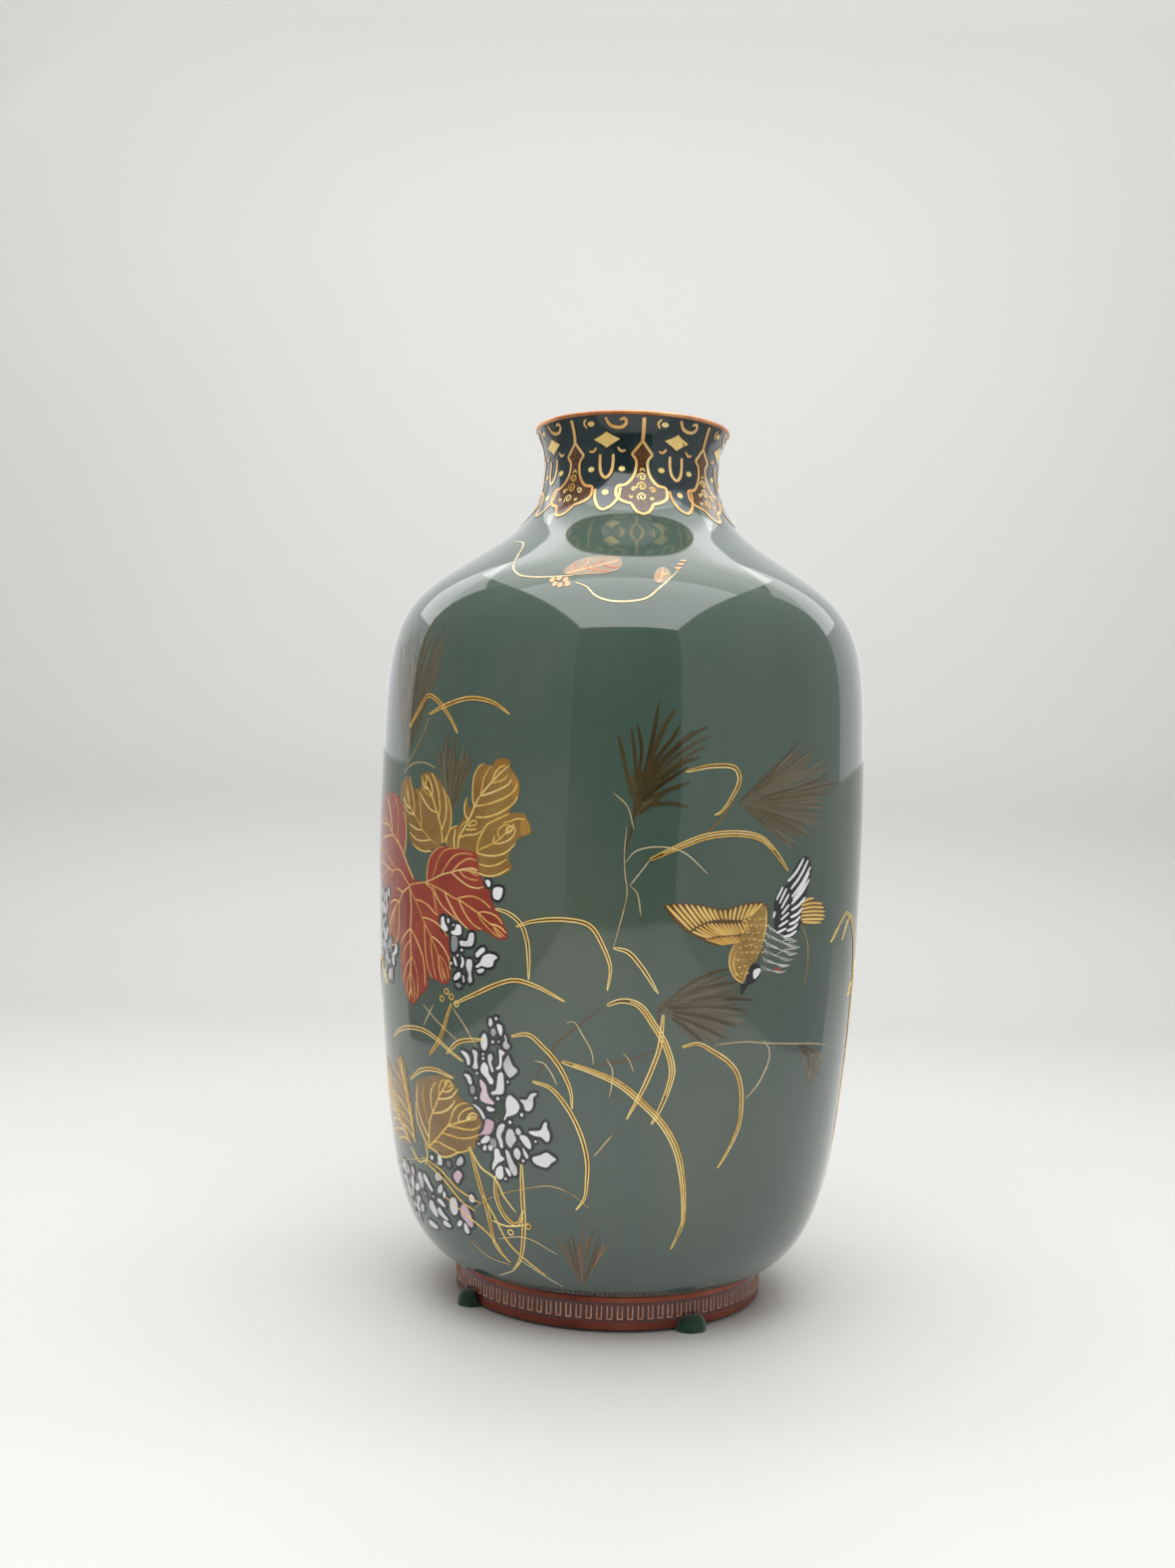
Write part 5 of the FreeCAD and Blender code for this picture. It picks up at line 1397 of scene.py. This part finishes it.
# The head and beak point down; the cheek is white, and a red spot lies on the breast.
bird_dark.fill([
    (27.9, 120.4), (29.4, 121.6), (30.9, 120.6), (31.2, 118), (29.8, 115.6), (28, 115), (27.4, 117.6),
], 0.2, smooth=True)
bird_dark.fill([(26.2, 115.2), (28.4, 115.4), (27.4, 113), (26.6, 111.6)], 0.2)
bird_white.fill([
    (29.4, 119.2), (30.4, 119.9), (31.3, 119.6), (30.8, 117.9), (29.7, 116.5), (29.3, 117.8),
], 0.7, smooth=True)
bird_spot.line([(35.2, 119.7), (36.2, 119.2), (37, 118.6)], 0.9)

# The tail.
bird_shade.fill([
    (42.2, 139.8), (46, 140.4), (50, 139), (51.2, 136.2), (50.6, 133.6), (46, 133), (42.4, 133.4),
], smooth=True)
TAIL_FEATHERS = [
    [(42.5, 140), (44.4, 140.9), (46.2, 141.1)], [(42.3, 139), (46, 139.6), (49.6, 139.2)],
    [(42.3, 137.9), (46, 138.3), (50.4, 137.9)], [(42.3, 136.8), (46, 137), (50.9, 136.6)],
    [(42.3, 135.7), (46, 135.8), (51, 135.3)], [(42.4, 134.6), (46, 134.5), (50.7, 134.2)],
    [(42.8, 133.8), (46, 133.4), (49.6, 133.2)],
]
for points in TAIL_FEATHERS:
    bird_gold.line(points, 0.8, (0.7, 0.7), tint=random_source.uniform(0.5, 1.0))
build(bird_shade, bird_dark, bird_breast, bird_gold, bird_body, bird_grey, bird_white, bird_lines, bird_spot)


# ---------------------------------------------------------------- shoulder spray

salmon = Inlay("shoulder_buds", SALMON, 0.14, "pale_enamel", ["shoulder_leaf_enamel"])
spray_leaf = Inlay("shoulder_leaf", LEAF_GREEN, 0.11, "pale_enamel")
spray_wires = Inlay("shoulder_stems", PALE_WIRE, 0.14, "wire_gold", ["shoulder_leaf_wires"])
LEFT_STEM = [
    (-50, 255), (-43, 254), (-40, 252), (-37, 248), (-34, 243.5), (-30, 240.5), (-25, 239.5), (-15, 239.8),
]
RIGHT_STEM = [
    (-14, 237.5), (-11, 236), (-8.5, 233), (-5, 231.5), (-1, 231.5), (3, 232.7), (6, 236), (9, 239.5),
    (12, 243),
]
SPRAY_LEAVES = [
    [(-18, 241), (-17, 244), (-14, 246.5), (-8, 247.2), (-3.5, 246.5), (-3.2, 243), (-6, 241),
     (-12, 240.2), (-15.5, 240)],
    [(5.4, 238), (5.2, 240.5), (6.6, 243.2), (8.6, 243.6), (9.6, 241.4), (8.4, 238.8)],
]
SPRAY_VEINS = [
    [(-17, 240.6), (-12, 242.5), (-4, 245.6)], [(-14, 241.8), (-12.5, 244), (-12.5, 246.3)],
    [(-10.5, 243), (-9, 245), (-8, 246.9)], [(-12, 242.5), (-9, 241.8), (-6, 241.2)],
    [(-8, 244), (-6, 243), (-3.6, 243.4)], [(-15.6, 241.2), (-16, 243), (-15.4, 245)],
    [(6, 238), (7.2, 240.6), (7.8, 243.4)], [(6.8, 240), (6, 241.4)], [(7.2, 240.8), (8.8, 241.4)],
]
SPRAY_BUDS = [(-20, 238.4), (-19, 237), (-17.6, 236.6), (-18.4, 239), (-16.6, 238.4), (-15.8, 237)]
TIP_BUDS = [(11, 243.5), (12.2, 245), (13.4, 246.4)]
spray_wires.line(LEFT_STEM, 0.5)
spray_wires.line(RIGHT_STEM, 0.55)
veined(spray_leaf, salmon, SPRAY_LEAVES, SPRAY_VEINS, 0.62, (0.3, 0.7))
for spot in SPRAY_BUDS:
    salmon.fill(ring_of(spot, random_source.uniform(0.7, 1.0), 7), 0.9, 2.0, True, 0.5)
for a, z in TIP_BUDS:
    salmon.line([(a, z), (a + 2.0, z + 0.2)], 0.8, tint=0.9)
build(spray_leaf, salmon, spray_wires)


# ---------------------------------------------------------------- neck band

LAPPETS, FIRST = 8, 5.2
PITCH = 360.0 / LAPPETS
LAPPET_SIDE = [
    [(0, 290.5), (3, 288.4), (6.6, 286)],
    [(6.6, 286), (3.8, 284), (3.8, 281), (5, 278.8), (7, 277), (10, 275.5), (14.5, 274.9), (15.2, 273),
     (14.5, 271.2), (11, 269.6), (6, 268.6)],
    [(6, 268.6), (4.8, 267.2), (3, 265.6), (0, 264.7)],
]
NECK_WIRE = 0.92
DARK_EDGES = 0.48           # of a neck wire, both sides together
NECK_GRID = 1.6
STAR = [
    (-8.5, 291), (-3.5, 292.2), (0, 293.4), (3.5, 292.2), (8.5, 291), (3, 289.3), (0, 288.2), (-3, 289.3),
]
STAR_GROUND = [
    (-9.6, 291), (-3.6, 292.8), (0, 294.2), (3.6, 292.8), (9.6, 291), (3.2, 288.7), (0, 287.4),
    (-3.2, 288.7),
]
TONGUE = [(-4.7, 271), (-2.7, 268.5), (-0.7, 267), (1.8, 266.3), (4.3, 267), (7.3, 269), (9.3, 271.5)]
ARCH = [(-4.3, 286), (-4.2, 282.5), (-3, 279.5), (0, 278), (3, 279.5), (4.2, 282.5), (4.3, 286)]
UPPER_HOOK = [(0, 297.8), (2.5, 295.5), (6.5, 294.7), (10.5, 295), (12.3, 296.3), (11.3, 297.5), (8.5, 297)]

# Curls in a lappet, as azimuth from its middle, height, size in mm, turns and first angle in radians.
CURLS = [
    (0, 278.3, 1.5, 1.4, 0.8), (0, 275, 1.7, 1.5, 0.4), (0, 271.2, 1.6, 1.5, 0.8),
    (6.3, 273.8, 1.1, 1.2, 1.5), (-4.9, 274, 0.8, 1.2, 1.5), (-6.0, 271.3, 0.7, 1.0, 2.5),
    (5.4, 270.9, 0.7, 1.0, 0.5),
]

lappets = Inlay("neck_lappets", GOLDSTONE, 0.10, "goldstone_enamel", ["neck_lappets_enamel"])
tongues = Inlay("neck_tongues", SLATE, 0.09, "neck_enamel", ["neck_tongues_enamel"])
neck_dark = Inlay("neck_dark_edges", OUTLINE, 0.13)
neck_wires = Inlay("neck_wires", ROSE_WIRE, 0.17, "wire_gold", ["neck_lappets_wires", "neck_tongues_wires"])
neck_gold = Inlay("neck_stars", GOLD, 0.16, "wire_gold")


def neck_line(points, width=NECK_WIRE, ends=(0.9, 0.9)):
    """A wire of the neck with its dark edges."""
    neck_dark.line(points, width + DARK_EDGES, ends, step=0.5)
    neck_wires.line(points, width, ends, tint=random_source.uniform(0.3, 0.9), step=0.5)


def bead(a, z, half_width, half_height, tint):
    """A gold oval; its half width is in degrees."""
    outline = [(a + half_width * math.cos(t), z + half_height * math.sin(t)) for t in circle_angles(12)]
    neck_gold.fill(outline, tint, NECK_GRID)


def shifted(points, centre, side=1):
    """The points moved round to a centre, and mirrored when side is -1."""
    return [(centre + side * a, z) for a, z in points]


def lappet(centre):
    """A lappet's enamel, its wires, and the stalk up to the rim."""
    scale = mm_per_degree(275)
    in_mm = [np.array(shifted(part, centre)) * (scale, 1.0) for part in LAPPET_SIDE]
    half = np.concatenate([curve(part, step=0.5) for part in in_mm]) / (scale, 1.0)
    outline = np.concatenate([half, ((2 * centre, 0) + half * (-1, 1))[::-1][1:-1]])
    apart = np.r_[True, np.hypot(*np.diff(outline, axis=0).T) > 0.02]
    lappets.fill(outline[apart], random_source.uniform(0.3, 0.7), NECK_GRID)
    for side in (-1, 1):
        for part in LAPPET_SIDE:
            neck_line(shifted(part, centre, side))
    neck_line([(centre, 297.8), (centre + 0.2, 294), (centre, 290.3)], 1.2)


def gap_between_lappets(middle):
    """The slate tongue, arch, star, hooks and beads between two lappets."""
    cell = [(-5.5, 274.2), *TONGUE, (9.6, 274.2), (2, 275)]
    tongues.fill(shifted(cell, middle), 0.4, NECK_GRID)
    neck_line(shifted([(-5.5, 274), *TONGUE, (9.8, 274.5)], middle))
    neck_line(shifted(ARCH, middle), 1.0)
    neck_dark.fill(shifted(STAR_GROUND, middle), 0.4, NECK_GRID)
    neck_gold.fill(shifted(STAR, middle), 0.6, NECK_GRID)
    for side in (-1, 1):
        neck_line(shifted([(7, 288.3), (9.2, 287), (12, 287.3)], middle, side), 0.8, (0.6, 0.6))
        bead(middle + side * 10, 281, 2.1, 0.9, 0.8)
    neck_line(shifted(UPPER_HOOK, middle), 1.0, (0.8, 0.5))
    bead(middle - 9.5, 296, 2.2, 0.8, 0.7)
    neck_line(shifted([(12.6, 294.8), (14, 296.4), (12, 297.6)], middle, -1), 0.7, (0.8, 0.5))
    bead(middle + 1, 272.8, 2.0, 1.0, 0.9)


def lappet_curls(centre):
    """Thin gold curls on a lappet."""
    for a, z, size, turns, start in CURLS:
        scale = mm_per_degree(z)
        curl = spiral(((centre + a) * scale, z), size, turns, start, -1 if a < 0 else 1)
        neck_gold.flat_line(curl, scale, 0.42, (0.8, 0.8), step=0.35)
    neck_gold.line([(centre - 1.4, 280.3), (centre + 0.3, 281.3), (centre + 1.9, 280.3)], 0.42, step=0.4)


for i in range(LAPPETS):
    lappet(FIRST + i * PITCH)
    gap_between_lappets(FIRST + (i + 0.5) * PITCH)
    lappet_curls(FIRST + i * PITCH)
build(lappets, tongues, neck_dark, neck_wires, neck_gold)


# ---------------------------------------------------------------- pads

PAD_RINGS, PAD_COLUMNS = 14, 40
PAD_ROUNDING = 0.55         # under 1, so that the side is steep and the top is flat


def pad(node):
    """A soft, slightly uneven pad squashed under the foot edge, in place of its plain CAD solid."""
    low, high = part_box(node)
    centre = (low + high) / 2
    radius = (high.x - low.x) / 2 * 0.98
    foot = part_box("foot_ring")[1].x
    points, faces = [], []
    for i in range(PAD_RINGS + 1):
        climb = i / PAD_RINGS * math.pi / 2
        across = radius * max(math.cos(climb), 0.0) ** PAD_ROUNDING
        for t in circle_angles(PAD_COLUMNS):
            reach = across * (1 + 0.035 * math.sin(3 * t + centre.x * 90) + 0.02 * math.sin(7 * t))
            x, y = centre.x + reach * math.cos(t), centre.y + reach * math.sin(t)
            top = (high.z - low.z) if math.hypot(x, y) > foot else FOOT_EDGE * MM
            points.append((x, y, low.z + top * math.sin(climb)))
    for i in range(PAD_RINGS):
        row = i * PAD_COLUMNS
        for j in range(PAD_COLUMNS):
            k = (j + 1) % PAD_COLUMNS
            faces.append((row + j, row + k, row + PAD_COLUMNS + k, row + PAD_COLUMNS + j))
    faces.append(tuple(range(PAD_COLUMNS))[::-1])
    faces.append(tuple(PAD_RINGS * PAD_COLUMNS + j for j in range(PAD_COLUMNS)))
    mesh = bpy.data.meshes.new(node + "_soft")
    mesh.from_pydata(points, [], faces)
    mesh.polygons.foreach_set("use_smooth", [True] * len(mesh.polygons))
    place(node + "_soft", mesh, PAD, "pad_green", [node])


PADS = 4
for number in range(1, PADS + 1):
    pad(f"stand_pad_{number}")


# ---------------------------------------------------------------- stage, light and camera

BEND_STEPS = 12


def sweep(name, material, half=1.05, front=-1.05, back=0.78, bend=0.16, top=1.9):
    """A floor that curves up into a backdrop; it ends where it is as bright as the surroundings."""
    line = [(front, 0.0), (-0.6, 0.0), (back - bend, 0.0)]
    for i in range(1, BEND_STEPS + 1):
        t = math.pi / 2 * i / BEND_STEPS
        line.append((back - bend + bend * math.sin(t), bend - bend * math.cos(t)))
    line.append((back, top))
    points = [(x, y, z) for y, z in line for x in (-half, half)]
    faces = [(2 * i, 2 * i + 1, 2 * i + 3, 2 * i + 2) for i in range(len(line) - 1)]
    mesh = bpy.data.meshes.new(name)
    mesh.from_pydata(points, [], faces)
    mesh.polygons.foreach_set("use_smooth", [True] * len(mesh.polygons))
    mesh.materials.append(material)
    piece = bpy.data.objects.new(name, mesh)
    bpy.context.scene.collection.objects.link(piece)


def area_light(name, spot, radiance, size, target=None):
    """A panel of even light, facing down or towards a target; the camera doesn't see it."""
    light = bpy.data.lights.new(name, "AREA")
    light.shape = "RECTANGLE"
    light.size, light.size_y = size
    light.energy = radiance * math.pi * size[0] * size[1]
    lamp = bpy.data.objects.new(name, light)
    lamp.location = spot
    if target is not None:
        lamp.rotation_mode = "QUATERNION"
        lamp.rotation_quaternion = (Vector(target) - Vector(spot)).to_track_quat("-Z", "Y")
    lamp.visible_camera = False
    bpy.context.scene.collection.objects.link(lamp)
    return lamp


def mirror_panel(name, corners, radiance):
    """A plain panel that is seen only in reflections."""
    material = bpy.data.materials.new(name)
    material.use_nodes = True
    nodes = material.node_tree.nodes
    nodes.clear()
    glow = nodes.new("ShaderNodeEmission")
    glow.inputs["Strength"].default_value = radiance
    material.node_tree.links.new(glow.outputs[0], nodes.new("ShaderNodeOutputMaterial").inputs["Surface"])
    mesh = bpy.data.meshes.new(name)
    mesh.from_pydata(corners, [], [tuple(range(len(corners)))])
    mesh.materials.append(material)
    panel = bpy.data.objects.new(name, mesh)
    bpy.context.scene.collection.objects.link(panel)
    panel.visible_camera = panel.visible_diffuse = panel.visible_shadow = panel.visible_transmission = False


sweep("floor_sweep", stage_material("paper_sweep", (0.64, 0.64, 0.622), (0.665, 0.665, 0.648)))
world = bpy.data.worlds.new("studio")
bpy.context.scene.world = world
world.use_nodes = True
world.node_tree.nodes["Background"].inputs["Color"].default_value = (1.0, 1.0, 0.99, 1.0)
world.node_tree.nodes["Background"].inputs["Strength"].default_value = 0.47
bpy.context.scene.view_settings.view_transform = "Standard"

# A light tent: an even ceiling, walls that only reflections see, and an open front that stays dark.
TENT_HALF, TENT_FRONT, TENT_MIDDLE, TENT_BACK = 0.39, -0.88, -0.02, 0.50
TENT_TOP = 0.80 + FOOT_EDGE * MM
WALL_BACK = 0.14
CORNER_SPOT, CORNER_SIZE, CORNER_TARGET = (0.66, 0.52, 0.80), (0.62, 0.50), (0.0, 0.0, 0.24)
GLOW_HALF, GLOW_BACK, GLOW_LOW, GLOW_HIGH = 1.6, 0.70, 0.2, 1.2
area_light("ceiling_front", (0.0, (TENT_FRONT + TENT_MIDDLE) / 2, TENT_TOP), 2.9,
           (2 * TENT_HALF, TENT_MIDDLE - TENT_FRONT))
area_light("ceiling_back", (0.0, (TENT_MIDDLE + TENT_BACK) / 2, TENT_TOP), 1.5,
           (2 * TENT_HALF, TENT_BACK - TENT_MIDDLE))
for side, name, corner_radiance, wall_radiance in ((-1, "left", 1.3, 0.25), (1, "right", 1.05, 0.45)):
    spot = (side * CORNER_SPOT[0], *CORNER_SPOT[1:])
    corner_lamp = area_light(name + "_corner_panel", spot, corner_radiance, CORNER_SIZE, CORNER_TARGET)
    corner_lamp.visible_diffuse = False
    wall_corners = [(side * TENT_HALF, y, z) for y, z in (
        (TENT_FRONT, 0.0), (WALL_BACK, 0.0), (WALL_BACK, TENT_TOP), (TENT_FRONT, TENT_TOP))]
    mirror_panel(name + "_tent_wall", wall_corners, wall_radiance)
mirror_panel("open_front", [(x, TENT_FRONT, z) for x, z in (
    (-TENT_HALF, 0.0), (TENT_HALF, 0.0), (TENT_HALF, TENT_TOP), (-TENT_HALF, TENT_TOP))], 0.03)
mirror_panel("back_glow", [(x, GLOW_BACK, z) for x, z in (
    (-GLOW_HALF, GLOW_LOW), (GLOW_HALF, GLOW_LOW), (GLOW_HALF, GLOW_HIGH), (-GLOW_HALF, GLOW_HIGH))], 0.95)
backdrop_lamp = area_light("backdrop_strip", (0.0, 0.25, 1.30), 4.3, (1.6, 0.30), target=(0.0, 0.78, 0.45))
backdrop_lamp.visible_glossy = False

# The camera stands 570 mm in front of the axis, a little left of it and level with the wide part.
CAMERA_PLACE = Vector((-0.01222, -0.57059, 0.17718 + FOOT_EDGE * MM))
CAMERA_PITCH, CAMERA_ROLL = math.radians(-0.215), math.radians(1.736)
CAMERA_LENS = 37.0
ahead = Vector((0.0, math.cos(CAMERA_PITCH), math.sin(CAMERA_PITCH)))
level_right = Vector((1.0, 0.0, 0.0))
level_up = level_right.cross(ahead)
right = level_right * math.cos(CAMERA_ROLL) + level_up * math.sin(CAMERA_ROLL)
up = level_up * math.cos(CAMERA_ROLL) - level_right * math.sin(CAMERA_ROLL)
camera_data = bpy.data.cameras.new("camera")
camera_data.lens = CAMERA_LENS
camera = bpy.data.objects.new("camera", camera_data)
camera.matrix_world = Matrix.Translation(CAMERA_PLACE) @ Matrix((right, up, -ahead)).transposed().to_4x4()
bpy.context.scene.collection.objects.link(camera)
bpy.context.scene.camera = camera
